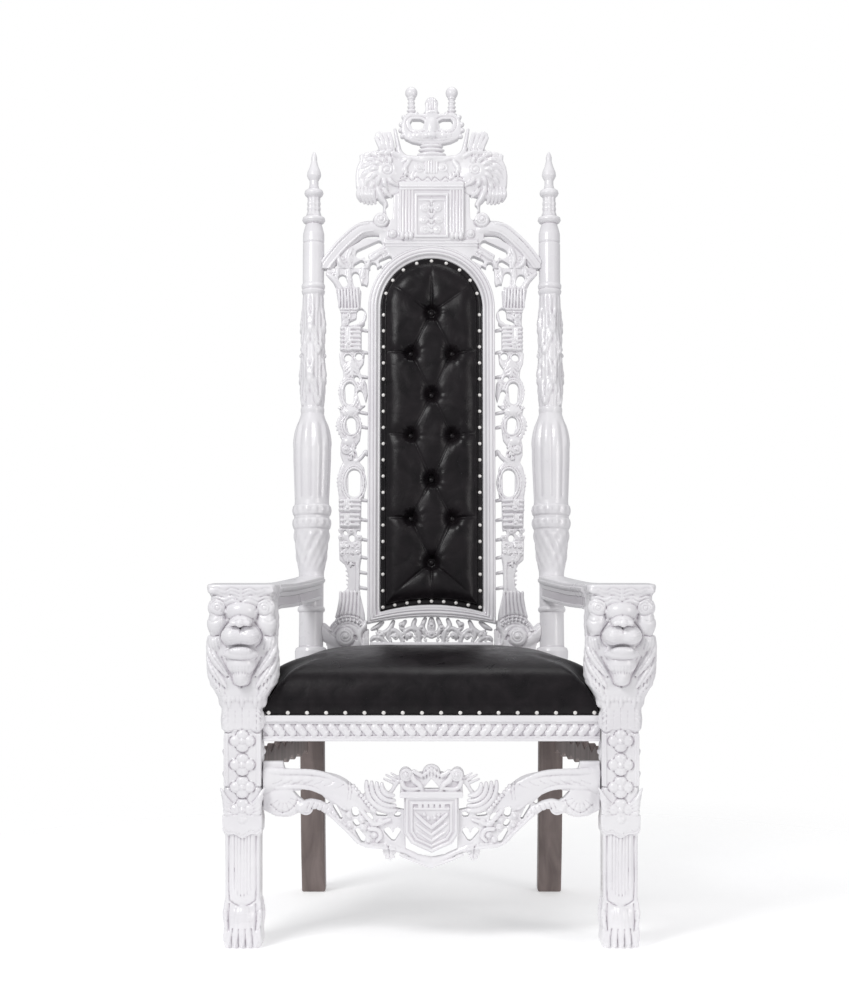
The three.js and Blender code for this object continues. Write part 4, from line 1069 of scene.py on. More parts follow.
def carve_fret():
    """The right fret, from its foot to the crest, between the frame and the post."""
    work = Field((138, -25, -112), (250, 15, SPLIT_V + 2), 1.5)
    edge = FRAME_HALF
    outline = [(u1, v) for v, u1, _ in FRET_EDGES] + [(u0, v) for v, _, u0 in reversed(FRET_EDGES)]
    work.add(board(outline, 12, -9, 3), 1)
    # head under the shoulder arch: branching stems and leaves round the openings
    strokes(work, [[(234, 824), (220, 812), (208, 796), (202, 784)], [(210, 838), (212, 824), (206, 802)],
                   [(186, 838), (186, 816), (186, 798), (184, 784)],
                   [(154, 838), (156, 818), (160, 802), (170, 786)]],
            -6, 5.5, 2, 1.2)
    leaf(work, [(222, 826), (214, 810), (206, 794)], [4, 8, 4], -10, 2.6, 4)
    leaf(work, [(186, 834), (186, 812), (184, 790)], [4, 7, 4], -10, 2.6, 5)
    leaf(work, [(152, 834), (156, 814), (166, 796)], [4, 7, 4], -10, 2.6, 4)
    # ribbed capital
    work.add(board([(159, 788), (215, 790), (211, 764), (203, 744), (165, 744), (163, 764)], 12, -12), 1.5)
    for k in range(7):
        x = 166 + 6.8 * k
        vine(work, [(x + 1, 787), (x, 766), (x - 2 + 0.4 * k, 746)], [2.6, 2.9, 2.2], -13, 0.5, 8, 1.4)
    for z, r in ((742, 3.4), (736, 2.2)):
        work.add(bone((164, -10, z), (203, -10, z), r, r, 1.5), 1)
    # scrolled post of the open scroll, banded block and the pair of round openings
    volute(work, 192, 725, 10, -9, 6, 0.2, 1.5)
    volute(work, 193, 710, 8, -9, 5, 0.6, 1.4)
    leaf(work, [(180, 740), (186, 726), (182, 708)], [3, 6, 3], -10, 2.4, 4)
    vine(work, [(166, 744), (153, 738), (149, 724), (156, 711), (172, 706)], [4, 4, 4, 4, 4], -9, 1, 14)
    banded_block(work, 157, 204, 646, 703, 6)
    for x, z, r in ((187, 632.5, 11.5), (163, 635.5, 11)):
        score(work, circle(x, z, r), 1.1, 2.0)
    # waist leaf, long loop, and a leaf across it
    leaf(work, [(178, 624), (179, 608), (177, 590)], [10, 17, 8], -9, 4, 5, 0.5)
    ring_line(work, 183, 550, 17, 29)
    leaf(work, [(150, 582), (160, 562), (170, 542), (178, 522)], [4, 8, 7, 4], -9, 3.4, 6)
    leaf(work, [(200, 578), (203, 556), (198, 530)], [3, 6, 3], -9, 2.8, 6)
    # node with spurs, leaf loop and lower leaf
    work.add(blob((182, -8, 509), (20, 8, 12)), 2)
    for side in (-1, 1):
        leaf(work, [(182 + 6 * side, 502), (182 + 15 * side, 512), (182 + 27 * side, 522)], [4, 6, 2.4], -11,
             2.6, 3)
    ring_line(work, 179, 478, 16, 20)
    leaf(work, [(204, 498), (207, 476), (198, 450)], [4, 7, 4], -8, 3.2, 6)
    leaf(work, [(162, 498), (160, 476), (168, 452)], [3, 6, 4], -8, 3.0, 5)
    work.add(blob((185, -8, 442), (15, 7, 12)), 2)
    volute(work, 190, 424, 11, -10, 6, 0.3, 1.5)
    leaf(work, [(176, 440), (174, 422), (182, 400)], [5, 8, 4], -11, 2.8, 5)
    vine(work, [(168, 398), (156, 408), (147, 420), (edge, 414)], [5, 4.5, 4.5, 5], -2, 1.5, 10, 1.8)
    # round opening
    ring_line(work, 172, 349, 21, 34)
    leaf(work, [(197, 384), (204, 358), (202, 322)], [4, 7, 4], -8, 3.2, 8)
    leaf(work, [(153, 378), (152, 350), (156, 322)], [2, 4, 2], -8, 2.2, 6)
    banded_block(work, 156, 205, 284, 314, 3)
    banded_block(work, 158, 203, 249, 282, 3)
    # open lattice under the block, then a square of curls
    for x, z in ((200, 228), (160, 228), (188, 216), (166, 214), (178, 243), (200, 244)):
        volute(work, x, z, 7, -9, 5, 0.15, 1.2)
    work.add(board([(156, 214), (205, 214), (203, 196), (192, 174), (160, 170), (156, 186)], 12, -12), 2)
    for k in range(4):
        for row in range(2):
            volute(work, 163 + 11.5 * k, 206 - 13 * row, 6.4, -11, 4.5, 0.2 * k + 0.5 * row, 1.2)
    leaf(work, [(186, 186), (182, 176), (174, 162)], [4, 8, 4], -11, 2.6, 3)
    # thin stem by the frame with toothed leaves, and the spreading foot
    for k in range(7):
        z = 170 - 10 * k
        work.add(bone((172, -4, z - 3), (190 - 0.6 * k, -3, z + 4), 4.4, 2), 1.2)
    vine(work, [(164, 172), (163, 142), (164, 108)], [4, 3.6, 4], -9, 1, 10)
    for k in range(6):
        x = 160 + 8.2 * k
        vine(work, [(x, 106), (x + 1, 82), (x + 1 + 1.6 * k, 50)], [3, 3.2, 3], -9, 0.6, 10, 1.3)
    # the foot's volute under nested arcs, its bracket to the post and the run to the lower rail
    work.add(blob((182, 2, 4), (50, 14, 52)), 2)
    for r, depth in ((50, 2.2), (43, 2.6), (36, 2.6), (30, 2.2)):
        score(work, circle(184, 6, r, 0.02, 0.48, 16), 1.7, depth)
    for k in range(14):
        angle = math.radians(10 + 12.5 * k)
        c, d = math.cos(angle), math.sin(angle)
        work.add(bone((184 + 37 * c, -12, 6 + 37 * d), (184 + 42 * c, -11, 6 + 42 * d), 1.9, 2.2), 0.8)
    work.add(blob((190, -3, 8), (24, 17, 24)), 1)
    volute(work, 190, 8, 20, -15, 8, 0.25, 1.9)
    score(work, circle(190, 8, 22.5), 1.6, 2.6)
    work.cut(bone((164, 0, 4), (169, 0, 8), 4, 4, 8), 1.5)
    vine(work, [(206, -4), (226, 8), (243, 22)], [15, 15, 18], 0, 2, 8, 0.8)
    score(work, [(212, 6), (224, 16), (238, 30)], 1.6, 2.2)
    work.add(board([(140, 22), (232, 22), (232, -36), (228, -112), (140, -112)], 12, -6), 2)
    vine(work, [(144, 36), (154, 22), (158, 4), (150, -12)], [8, 7, 6, 7], -4, 2, 12, 1.2)
    score(work, [(142, 26), (152, 14), (152, -6)], 1.6, 2.2)
    # openings, and ties to the frame
    pierce(work, FRET_OPENINGS, 0, 1.5)
    for z in (696, 646, 590, 508, 476, 312, 268, 224, 184, 150, 116):
        vine(work, [(edge, z - 2), (162, z + 2)], [3.6, 4], 0, 1.5, 3, 1.8)
    work.cut(brick((100, -60, SPLIT_V + SPLIT_LAP), (300, 60, 900), 0.2), 0.3)
    clear_frame(work)
    clear_posts(work, 27.1)
    clear_posts_foot(work)
    work.cut(brick((100, 12.2, -200), (300, 90, 900), 0.3), 0.5)
    return surface(work.value, work.low, work.step)


def clear_posts_foot(work):
    """Room for the wide foot of the post."""
    work.cut(brick((POST_X - 36, -60, -200), (POST_X + 60, 60, -12), 0.3), 0.5)


fret_points, fret_faces = carve_fret()
for word, side in SIDES:
    piece = make_mesh("carved_fret_" + word, fret_points, fret_faces, place_of(BACK_PLACE, side), keep=0.36)
    dress(piece, "white_paint", "fret_" + word)


# ---------- front apron ----------
def carve_apron():
    front_y = -316
    back_y = -288
    middle = -302
    work = Field((0, -326, 146), (LEG_X - LEG_HALF + 1, -286, 360), 1.6)
    ends = BAY_HALF

    def line(points, width, depth):
        score(work, points, width, depth, front=-300)

    # joint block, round lobe and the broad S-arm
    work.add(board([(ends + 4, 356), (ends + 4, 264), (300, 250), (262, 256), (250, 276), (252, 300),
                    (284, 342), (288, 356)],
                   back_y, -308, 3), 2)
    work.add(blob((284, middle, 282), (38, 15, 34)), 4)
    vine(work, [(ends + 6, 322), (284, 322), (236, 321), (211, 313), (188, 302), (163, 286), (138, 268)],
         [30, 20, 19, 22, 27, 25, 16], middle, 3, 26, 0.62)
    # leaf rib along the top of the arm, the turned lower border and the collar
    vine(work, [(ends + 4, 338), (284, 337), (236, 336), (201, 329), (166, 312), (146, 294)],
         [6, 6, 5.5, 5, 5, 5],
         -311, 1.5, 22)
    vine(work, [(300, 306), (260, 308), (226, 303), (196, 288), (168, 266)], [4, 4.5, 4.5, 4.5, 4], -311,
         1.5, 18)
    for k in range(7):
        x = 298 - 20 * k
        z = 322 - 0.9 * max(k - 3, 0) ** 2
        work.add(blob((x, -310, z), (12, 6, 7)), 2.5)
        line([(x + 9, z - 8), (x, z - 6), (x - 9, z - 1)], 1.4, 1.8)
    line([(312, 274), (290, 258), (268, 268), (258, 286), (266, 300)], 1.8, 2.4)
    for k in range(6):
        turn = math.pi * (1.1 + 0.14 * k)
        line([(286 + r * math.cos(turn), 290 + r * math.sin(turn)) for r in (14, 34)], 1.2, 1.6)
    for x in (161, 155):
        line([(x, 316), (x - 1, 300), (x + 1, 284)], 1.4, 2.4)
    # small scroll and serrated branch under the arm
    volute(work, 243, 266, 14, -306, 8, 0.5, 1.4)
    vine(work, [(252, 268), (236, 274), (214, 270), (194, 258), (178, 244)], [13, 10, 9, 9, 9], middle, 2,
         18, 1.2)
    for k in range(7):
        x = 238 - 9 * k
        z = 279 - 0.55 * k * k
        work.add(bone((x, -304, z - 4), (x - 4, -304, z + 3), 4, 2.4), 1.2)
        line([(x - 2, z - 2), (x + 3, z - 13)], 1.2, 1.8)
    # web, lower border with bosses, and pendant
    work.add(board([(206, 262), (196, 290), (162, 296), (128, 274), (100, 272), (52, 262), (50, 186),
                    (97, 192),
                    (134, 194), (178, 240)], back_y, -308, 2), 2)
    vine(work, [(204, 262), (182, 245), (158, 220), (134, 198), (97, 193), (70, 190)], [6, 6, 6, 6, 6, 6],
         middle, 2, 20, 1.6)
    vine(work, [(196, 254), (158, 218), (133, 196), (100, 191), (72, 188)], [3.2] * 5, -313, 1, 20)
    # openings in the web
    pierce(work, [
        ((187, 270), (175, 248), 4, 3), ((148, 263), (147, 256), 7, 7), ((123, 250), (120, 246), 7.5, 7.5),
        ((103, 256), (90, 255), 5, 5), ((68, 254), (64, 254), 5, 5), ((147, 240), (144, 236), 5.5, 5.5),
        ((143, 222), (132, 206), 5, 6.5), ((85, 222), (75, 207), 7, 4.5), ((66, 222), (73, 207), 6.5, 4.5),
    ], middle, 1.5)
    work.cut(board([(268, 299), (236, 301), (213, 292), (196, 277), (202, 274), (214, 281), (232, 285),
                    (246, 281),
                    (256, 286)], -200, -400, 1), 1.5)
    for x, z in ((160, 252), (135, 244), (112, 236), (132, 228), (158, 234), (110, 214), (122, 204),
                 (98, 238), (112, 262)):
        work.add(blob((x, -308, z), (7, 7, 7)), 2)
        line(circle(x, z, 4.8, 0.1, 0.9, 10), 1.1, 1.5)
    vine(work, [(136, 262), (112, 236), (92, 240), (80, 244)], [4, 4, 3.4, 3], -310, 1.2, 12)
    vine(work, [(120, 226), (104, 224), (98, 212), (106, 202)], [4, 4, 4, 3], -310, 1.2, 12)
    # beads from the collar down to the shell, and the shell of nested feathers
    for k in range(8):
        work.add(blob((151 - 5 * k, -309, 309 - 6 * k), (4.2, 6, 4.2)), 0.8)
    for r, front in ((50, -307), (40, -309), (30, -311), (20, -312)):
        feather = circle(76, 311, r, -0.27, 0.29, 12)
        last = len(feather) - 1
        taper = [5.6 * math.sin(math.pi * (0.22 + 0.56 * k / last)) for k in range(last + 1)]
        vine(work, feather, taper, front, 0.8, 12, 1.6)
    vine(work, [(74, 262), (98, 268), (126, 288)], [8, 10, 8], middle, 2, 10, 1.2)
    for tip, root, r in (((88, 330), (66, 318), 2.6), ((92, 322), (68, 312), 2.8),
                         ((78, 333), (60, 322), 2.4)):
        work.add(bone((root[0], -304, root[1]), (tip[0], -304, tip[1]), r * 1.3, r * 0.8, 1.4), 1.5)
    vine(work, [(56, 318), (66, 316), (76, 300), (84, 292)], [5, 4, 3.6, 4], -304, 1.5, 10, 1.3)
    # crown: scrolled body on a plate, with an opening in the middle
    work.add(brick((-60, -322, 288), (61, back_y, 299), 2.5), 1)
    work.add(bone((0, -321, 289.5), (59, -321, 289.5), 2.4, 2.4), 1)
    work.add(board([(-20, 296), (60, 296), (61, 322), (52, 334), (38, 338), (26, 334), (14, 336), (0, 338),
                    (-20, 334)],
                   back_y + 4, -310, 4), 1.5)
    work.add(blob((50, middle, 331), (13, 12, 15)), 4)
    work.add(blob((0, middle, 336), (17, 12, 15)), 6)
    work.cut(board([(-17, 303), (17, 303), (1, 322), (-1, 322)], -200, -400, 1), 1.5)
    volute(work, 49, 331, 13, -312, 7, 0.5, 1.5)
    vine(work, [(18, 300), (24, 312), (34, 320), (38, 330)], [4, 4.5, 5, 4], -311, 1.5, 10)
    vine(work, [(58, 318), (52, 306), (40, 302), (24, 304)], [4, 4, 4, 3], -312, 1.2, 10)
    vine(work, [(34, 338), (20, 330), (10, 334), (0, 342)], [4, 4, 4.5, 5], -312, 1.2, 12)
    for k in range(3):
        line([(4 + 7 * k, 344 - 4 * k), (3 + 6 * k, 328 - 3 * k)], 1.2, 2.0)
    # shield: nested outlines round a chequered field with a chevron
    shape = [(-53, 292), (-53, 218), (-40, 198), (0, 180), (40, 198), (53, 218), (53, 292)]
    work.add(board(shape, back_y, front_y, 3), 1)

    def inset(by):
        return [(x * (53 - by) / 53, 236 + (z - 236) * (56 - by) / 56) for x, z in shape]

    work.add(board(inset(3), back_y, -320, 1.5), 0.6)
    work.cut(board(inset(8), -318, -340, 0.5), 0.5)
    work.add(board(inset(13), back_y, -320.5, 1.2), 0.6)
    work.cut(board(inset(17), -317.5, -340, 0.5), 0.5)
    work.add(bone((0, -318, 266), (33, -318, 266), 2.2, 2.2), 0.8)
    for x in (0, 11, 22):
        work.add(brick((x - 4, -320, 269), (x + 4, -310, 277), 1.2), 0.5)
    vine(work, [(0, 230), (14, 241), (30, 256)], [3.4, 3.4, 3], -319, 1, 8)
    vine(work, [(0, 216), (14, 226), (30, 238)], [2.6, 2.6, 2.2], -318, 1, 8)
    vine(work, [(0, 204), (12, 212), (28, 222)], [2.2, 2.2, 1.8], -318, 1, 8)
    for x, z in ((6, 248), (14, 255)):
        work.add(blob((x, -318, z), (3.6, 4, 3.6)), 0.8)
    # pendant tips under the shield and the border
    vine(work, [(70, 188), (48, 180), (24, 168), (0, 160)], [7, 6, 8, 11], -303, 1.5, 14, 1.2)
    vine(work, [(60, 176), (36, 166), (0, 154)], [3, 3, 4], -312, 1, 10)
    for x, z, r in ((41, 191, 5.5), (21, 180, 5)):
        work.cut(bone((x + 3, middle, z), (x - 3, middle, z + 1), r, r - 1, 8), 1)
    leaf(work, [(86, 196), (82, 184), (80, 168)], [11, 12, 8], -305, 5, 4, 0.5)
    line([(83, 192), (81, 170)], 1.4, 2.0)
    work.cut(brick((-10, -286.5 - 1.7, 100), (400, -200, 400), 0.2), 0.4)
    work.cut(brick((ends - 0.2, -400, 100), (ends + 60, -200, 400), 0.1), 0.3)
    return mirrored_surface(work)


dress(make_mesh("carved_apron", *carve_apron(), FRONT_PLACE, keep=0.46), "white_paint", "apron_front")


# ---------- lower rail behind the cushion ----------
def carve_lower_rail():
    work = Field((0, -24, -112), (138, 16, 58), 1.5)
    work.add(board([(-20, -9), (136, -9), (136, -110), (-20, -110)], 12, -8, 1.5), 1)
    vine(work, [(0, -9), (60, -9), (134, -9)], [5, 5, 5], -4, 1.5, 10, 1.4)
    strokes(work, [[(0, 50), (4, 30), (0, 8)], [(14, 48), (20, 30), (12, 14), (2, 10)],
                   [(26, -6), (30, 14), (44, 26), (58, 18), (54, 2)],
                   [(36, 46), (40, 32), (30, 20), (22, 6)],
                   [(62, -6), (70, 12), (84, 22), (96, 12), (90, -2)], [(58, 42), (66, 30), (60, 20)],
                   [(84, 42), (92, 26), (106, 16), (118, 20)], [(108, 40), (120, 30), (132, 24)],
                   [(100, -6), (112, 4), (126, 6), (134, 0)]], -1, 5.2, 2, 1.8)
    for x, z, r in ((0, 14, 11), (0, 34, 8), (48, 10, 8), (22, 28, 7), (80, 8, 8), (66, 34, 7),
                    (110, 12, 8)):
        volute(work, x, z, r, -8, 6, 0.01 * x)
    for x in (12, 34, 62, 90, 118):
        leaf(work, [(x, -4), (x + 3, 8), (x + 1, 20)], [3, 6, 2.5], -8, 2.4, 3)
    radius = FRAME_HALF + FRAME_GAP

    def over_frame(x, y, z):
        foot = FRAME_FOOT_V + PAD_FOOT_RISE * (1 - np.minimum((x / FRAME_HALF) ** 2, 1)) - FRAME_GAP
        return (foot - z + 0 * y).astype(np.float32)

    work.cut(((-radius, -60, 30), (radius, 60, 90), over_frame), 0.3)
    work.cut(brick((-20, 12.2, -200), (300, 90, 900), 0.3), 0.5)
    work.cut(brick((136.2, -60, -200), (300, 90, 900), 0.1), 0.3)
    return mirrored_surface(work)


dress(make_mesh("carved_lower_rail", *carve_lower_rail(), BACK_PLACE, keep=0.4), "white_paint",
      "lower_back_rail")


# ---------- front seat rail with its rope of beads ----------
def carve_front_rail():
    inner = BAY_HALF
    work = Field((0, -324, RAIL_BOTTOM - 3), (inner + 3, -278, RAIL_TOP + 3), 1.5)
    work.add(brick((-40, -310, RAIL_BOTTOM), (inner, -282, RAIL_TOP), 1.5), 0.5)
    for low, high, out in ((RAIL_BOTTOM, 401, 317), (401.5, 405.5, 314), (429, 433, 314),
                           (433.5, RAIL_TOP, 318)):
        work.add(brick((-40, -out, low), (inner, -300, high), 1.6), 0.6)
    beads = 31
    pitch = 2 * inner / beads
    for k in range(beads // 2 + 2):
        x = k * pitch
        work.add(bone((x - 4.5, -310, 412), (x + 4.5, -310, 422), 7.6, 7.6, 0.9), 0.8)
        score(work, [(x - 8, 417), (x - 2, 421), (x + 3, 417), (x - 1, 413)], 1.1, 1.4, front=-300)
    work.cut(brick((inner, -400, 300), (inner + 60, -200, 500), 0.1), 0.2)
    return mirrored_surface(work)


dress(make_mesh("beaded_front_rail", *carve_front_rail(), FRONT_PLACE, keep=0.36), "white_paint",
      "seat_rail_front")


# ---------- swept and turned pieces ----------
def grid_faces(rows, columns, closed=False):
    """Quads over rings of points, with the last ring joined to the first where it is closed."""
    quads = []
    for r in range(rows if closed else rows - 1):
        for c in range(columns):
            r2, c2 = (r + 1) % rows, (c + 1) % columns
            quads.append((r * columns + c, r * columns + c2, r2 * columns + c2, r2 * columns + c))
    return quads


def skin(name, rings, place, closed=False):
    """A smooth body through rings of the same count of points."""
    rings = np.array(rings, float)
    rows, columns = rings.shape[:2]
    points = [tuple(p) for p in rings.reshape(-1, 3)]
    faces = grid_faces(rows, columns, closed)
    if not closed:
        for ring, turn in ((0, True), (rows - 1, False)):
            start = ring * columns
            points.append(tuple(rings[ring].mean(axis=0)))
            hub = len(points) - 1
            for c in range(columns):
                edge = (start + c, start + (c + 1) % columns)
                faces.append((hub, edge[1], edge[0]) if turn else (hub, edge[0], edge[1]))
    data = bpy.data.meshes.new(name)
    data.from_pydata(points, [], faces)
    data.transform(place)
    work = bmesh.new()
    work.from_mesh(data)
    bmesh.ops.recalc_face_normals(work, faces=work.faces)
    work.to_mesh(data)
    work.free()
    shade_smooth(data)
    return new_object(name, data)


FRAME_SAMPLES = 220


def frame_ring():
    """The stepped moulding round the pad, swept round the arched outline."""
    profile = [(0, 17), (0, -15), (1.2, -17.5), (3, -18.6), (7.5, -19), (9, -22.5), (11, -24.6),
               (13.2, -24.8),
               (14.4, -22.6), (15.6, -22.4), (16.8, -24.4), (19, -25), (21.6, -24.6), (22.8, -22),
               (24, -21.6),
               (25.2, -23), (26.8, -22.4), (28, -20), (28.5, -17.5), (28.5, 15), (27, 17)]
    inner = PAD_HALF + 0.4
    paths = [(frame_path(inner + s, 62.6 - s * 0.93, 78.6 - s * 0.93), w) for s, w in profile]
    return [[(path[k][0], w, path[k][1]) for path, w in paths] for k in range(FRAME_SAMPLES)]


def frame_path(half, side_v, middle_v):
    """The arched outline, in which each point keeps its share of the arch, side or foot."""
    points = []
    arch = int(FRAME_SAMPLES * 0.3)
    side = int(FRAME_SAMPLES * 0.22)
    foot = FRAME_SAMPLES - arch - 2 * side
    for k in range(arch):
        angle = math.pi * k / arch
        points.append((half * math.cos(angle), PAD_ARCH_V + half * math.sin(angle)))
    for k in range(side):
        points.append((-half, PAD_ARCH_V + (side_v - PAD_ARCH_V) * k / side))
    for k in range(foot):
        u = -half + 2 * half * k / foot
        points.append((u, side_v + (middle_v - side_v) * (1 - (u / half) ** 2)))
    for k in range(side):
        points.append((half, side_v + (PAD_ARCH_V - side_v) * k / side))
    return points


frame_piece = skin("stepped_frame", frame_ring(), BACK_PLACE, closed=True)
dress(frame_piece, "white_paint", "back_frame")


def smooth_step(a, b, x):
    t = np.clip((x - a) / (b - a), 0, 1)
    return t * t * (3 - 2 * t)


def post_rings():
    """A turned post: its profile, with flutes, beaded bands and leaves worked into the skin."""
    foot = -(PIVOT_Z - RAIL_TOP - 4) / math.cos(LEAN) + 1
    profile = np.array([
        (foot, 30), (-52, 31), (-40, 35), (-24, 35.5), (-17, 33), (-14, 27), (40, 26.6), (62, 26.6),
        (64, 29.5),
        (68, 30.5), (72, 29.5), (75, 27), (120, 26.8), (150, 27.8), (172, 31.5), (200, 35), (232, 38.3),
        (246, 38.6), (249, 40.8), (256, 42), (267, 41.8), (271, 39), (276, 39), (279, 41.4), (288, 42.4),
        (297, 41.8),
        (301, 38.6), (309, 38), (322, 38.6), (360, 40.2), (400, 41.8), (428, 42), (450, 40.4), (466, 37.6),
        (480, 33.6),
        (494, 29), (506, 25.4), (512, 26.4), (517, 26.4), (521, 24.6), (560, 25.2), (610, 25.2), (660, 24.2),
        (720, 23.2), (776, 22.8), (780, 25.2), (785, 26.4), (789, 24), (793, 26.2), (798, 26.4), (803, 23.8),
        (850, 24.0), (893, 24), (896, 22.6), (899, 24), (917, 23.8), (932, 20), (940, 17.4), (943, 23),
        (948, 26),
        (954, 24.5), (958, 17.4), (964, 15.4), (969, 13.6), (975, 15.2), (981, 13.6), (987, 15), (993, 13.4),
        (1001, 14.2), (1006, 19.6), (1011, 21.6), (1017, 19.6), (1022, 12), (1030, 10), (1040, 10),
        (1046, 13.6),
        (1052, 16), (1060, 15), (1074, 9.6), (1086, 6.4), (1094, 6.6), (1100, 5.2), (1107, 2.0),
    ])
    levels = np.unique(np.concatenate([np.arange(foot, 1107, 3.4), profile[:, 0]]))
    around = 80
    angle = np.arange(around) / around * 2 * math.pi
    rings = []
    for v in levels:
        r = np.interp(v, profile[:, 0], profile[:, 1]) + 0 * angle
        # fluted bell with rounded tops, thin reeds between the flutes
        bell = float(smooth_step(308, 320, v) * (1 - smooth_step(468, 492, v)))
        r -= bell * 2.4 * np.exp(-((np.cos(10 * angle) + 1) / 0.5) ** 2)
        crown = float(smooth_step(424, 440, v) * (1 - smooth_step(478, 494, v)))
        r += crown * 1.8 * np.exp(-((np.cos(10 * angle) - 1) / 0.35) ** 2)
        # scalloped bands
        for centre, half, count, rise in ((260, 8, 14, 1.5), (288, 8, 14, 1.5)):
            r += rise * np.cos(count * angle) * math.exp(-((v - centre) / half) ** 2)
        # carved tongues on the shaft under the bands
        low = float(smooth_step(150, 170, v) * (1 - smooth_step(236, 246, v)))
        r += low * (1.4 * np.cos(8 * angle) * math.cos((v - 180) / 8) + 0.8 * np.cos(12 * angle + v / 6))
        # reeds and leaves between the rings
        reed = float(smooth_step(516, 526, v) * (1 - smooth_step(730, 770, v)))
        for lean, phase in ((1, 0), (-1, 0.4)):
            for start in (524, 640):
                t = (v - start) / 106
                if 0 <= t <= 1:
                    swing = lean * 1.15 * (t - 0.5)
                    notch = 0.80 + 0.20 * abs(math.sin(5 * math.pi * t))
                    width = 0.36 * notch * math.sin(math.pi * min(t * 0.9 + 0.08, 1)) + 0.05
                    for k in range(4):
                        gap = (angle - k * math.pi / 2 - phase - swing + math.pi) % (2 * math.pi) - math.pi
                        body = np.maximum(1 - (gap / width) ** 2, 0)
                        vein = np.exp(-(gap / 0.06) ** 2) + 0.5 * np.cos(26 * gap + 40 * t * np.sign(gap))
                        r += reed * (3.4 * body ** 0.6 - 0.9 * vein * (body > 0.05))
        r += reed * 0.7 * np.cos(16 * angle)
        for lean in (-1, 1):
            wrap = np.cos(2 * angle + lean * (v - 638) / 16)
            r += math.exp(-((v - 638) / 26) ** 2) * 2.6 * np.exp(-((1 - wrap) / 0.05) ** 2)
        top = float(smooth_step(730, 742, v) * (1 - smooth_step(766, 778, v)))
        r += top * 1.1 * np.cos(12 * angle)
        neck = float(smooth_step(958, 962, v) * (1 - smooth_step(998, 1003, v)))
        r += neck * 0.7 * np.cos(8 * angle)
        rings.append(np.column_stack([r * np.cos(angle), r * np.sin(angle), np.full(around, v)]))
    return rings


POST_RINGS = post_rings()
for word, side in SIDES:
    spot = BACK_PLACE @ Matrix.Translation((side * POST_X, 0, 0))
    piece = skin("turned_post_" + word, POST_RINGS, place_of(spot, side))
    dress(piece, "white_paint", "back_post_" + word)


# ---------- arms ----------
def arm_rings():
    """A moulded board that curves inwards from the lion's head to the post, right side."""
    stations = np.array([(38, 60, 0), (41, 120, 0), (58, 230, -1), (80, 350, 2), (95, 450, 5), (98, 522, 6)],
                        float)
    right = [(24, -50), (25, -49), (25, -45), (22.6, -43), (22.6, -27), (25, -25), (25, -22), (26, -19),
             (25.6, -17.6),
             (27, -17), (30, -14), (31, -11), (30.6, -8), (28.6, -6.6), (28.8, -4.4), (27.4, -1.6),
             (23, -0.4), (12, 0.6)]
    left = [(-x, z) for x, z in reversed(right)]
    section = left[-2:] + right + [(0, 1)] + left[:-2]
    line, _ = spline(stations, [1] * len(stations), 40)
    rings = []
    for shift, y, rise in line:
        rings.append([(x - shift, y, HEAD_TOP - 3 + rise + z) for x, z in section])
    return rings


POST_HOLE = 0.0277
ARM_RINGS = arm_rings()
for word, side in SIDES:
    spot = FRONT_PLACE @ Matrix.Translation((side * LEG_X, LEG_Y, 0))
    piece = skin("moulded_arm_" + word, ARM_RINGS, place_of(spot, side))
    hole = bpy.data.meshes.new("hole")
    drill = bmesh.new()
    bmesh.ops.create_cone(drill, cap_ends=True, segments=48, radius1=POST_HOLE, radius2=POST_HOLE, depth=0.3)
    drill.to_mesh(hole)
    drill.free()
    cutter = new_object("hole", hole)
    along = (HEAD_TOP - PIVOT_Z) / math.cos(LEAN)
    cutter.matrix_world = BACK_PLACE @ Matrix.Translation((side * POST_X, 0, along)) @ Matrix.Scale(1000, 4)
    bpy.context.view_layer.update()
    notch = piece.modifiers.new("notch", "BOOLEAN")
    notch.operation = "DIFFERENCE"
    notch.object = cutter
    notch.solver = "EXACT"
    apply_modifiers(piece)
    piece.data.set_sharp_from_angle(angle=math.radians(35))
    bpy.data.objects.remove(cutter)
    dress(piece, "white_paint", "arm_" + word)


# ---------- plain rails, rear legs and side aprons: the solids with eased edges ----------
def eased(node, name, width, slot):
    """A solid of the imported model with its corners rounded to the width."""
    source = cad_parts[node]
    data = source.data.copy()
    data.name = name
    work = bmesh.new()
    work.from_mesh(data)
    bmesh.ops.remove_doubles(work, verts=work.verts, dist=1e-5)
    bmesh.ops.dissolve_limit(work, angle_limit=math.radians(1), verts=work.verts, edges=work.edges)
    work.to_mesh(data)
    work.free()
    piece = new_object(name, data)
    soften = piece.modifiers.new("ease", "BEVEL")
    soften.width = width
    soften.segments = 3
    soften.limit_method = "ANGLE"
    soften.angle_limit = math.radians(35)
    soften.harden_normals = False
    apply_modifiers(piece)
    return dress(piece, slot, node)


for word, side in SIDES:
    eased("seat_rail_" + word, "side_rail_" + word, 0.003, "white_paint")
    eased("rear_leg_" + word, "raked_leg_" + word, 0.004, "brown_wood")
    eased("apron_" + word, "scalloped_apron_" + word, 0.0025, "brown_wood")
eased("seat_rail_back", "rear_rail", 0.003, "white_paint")


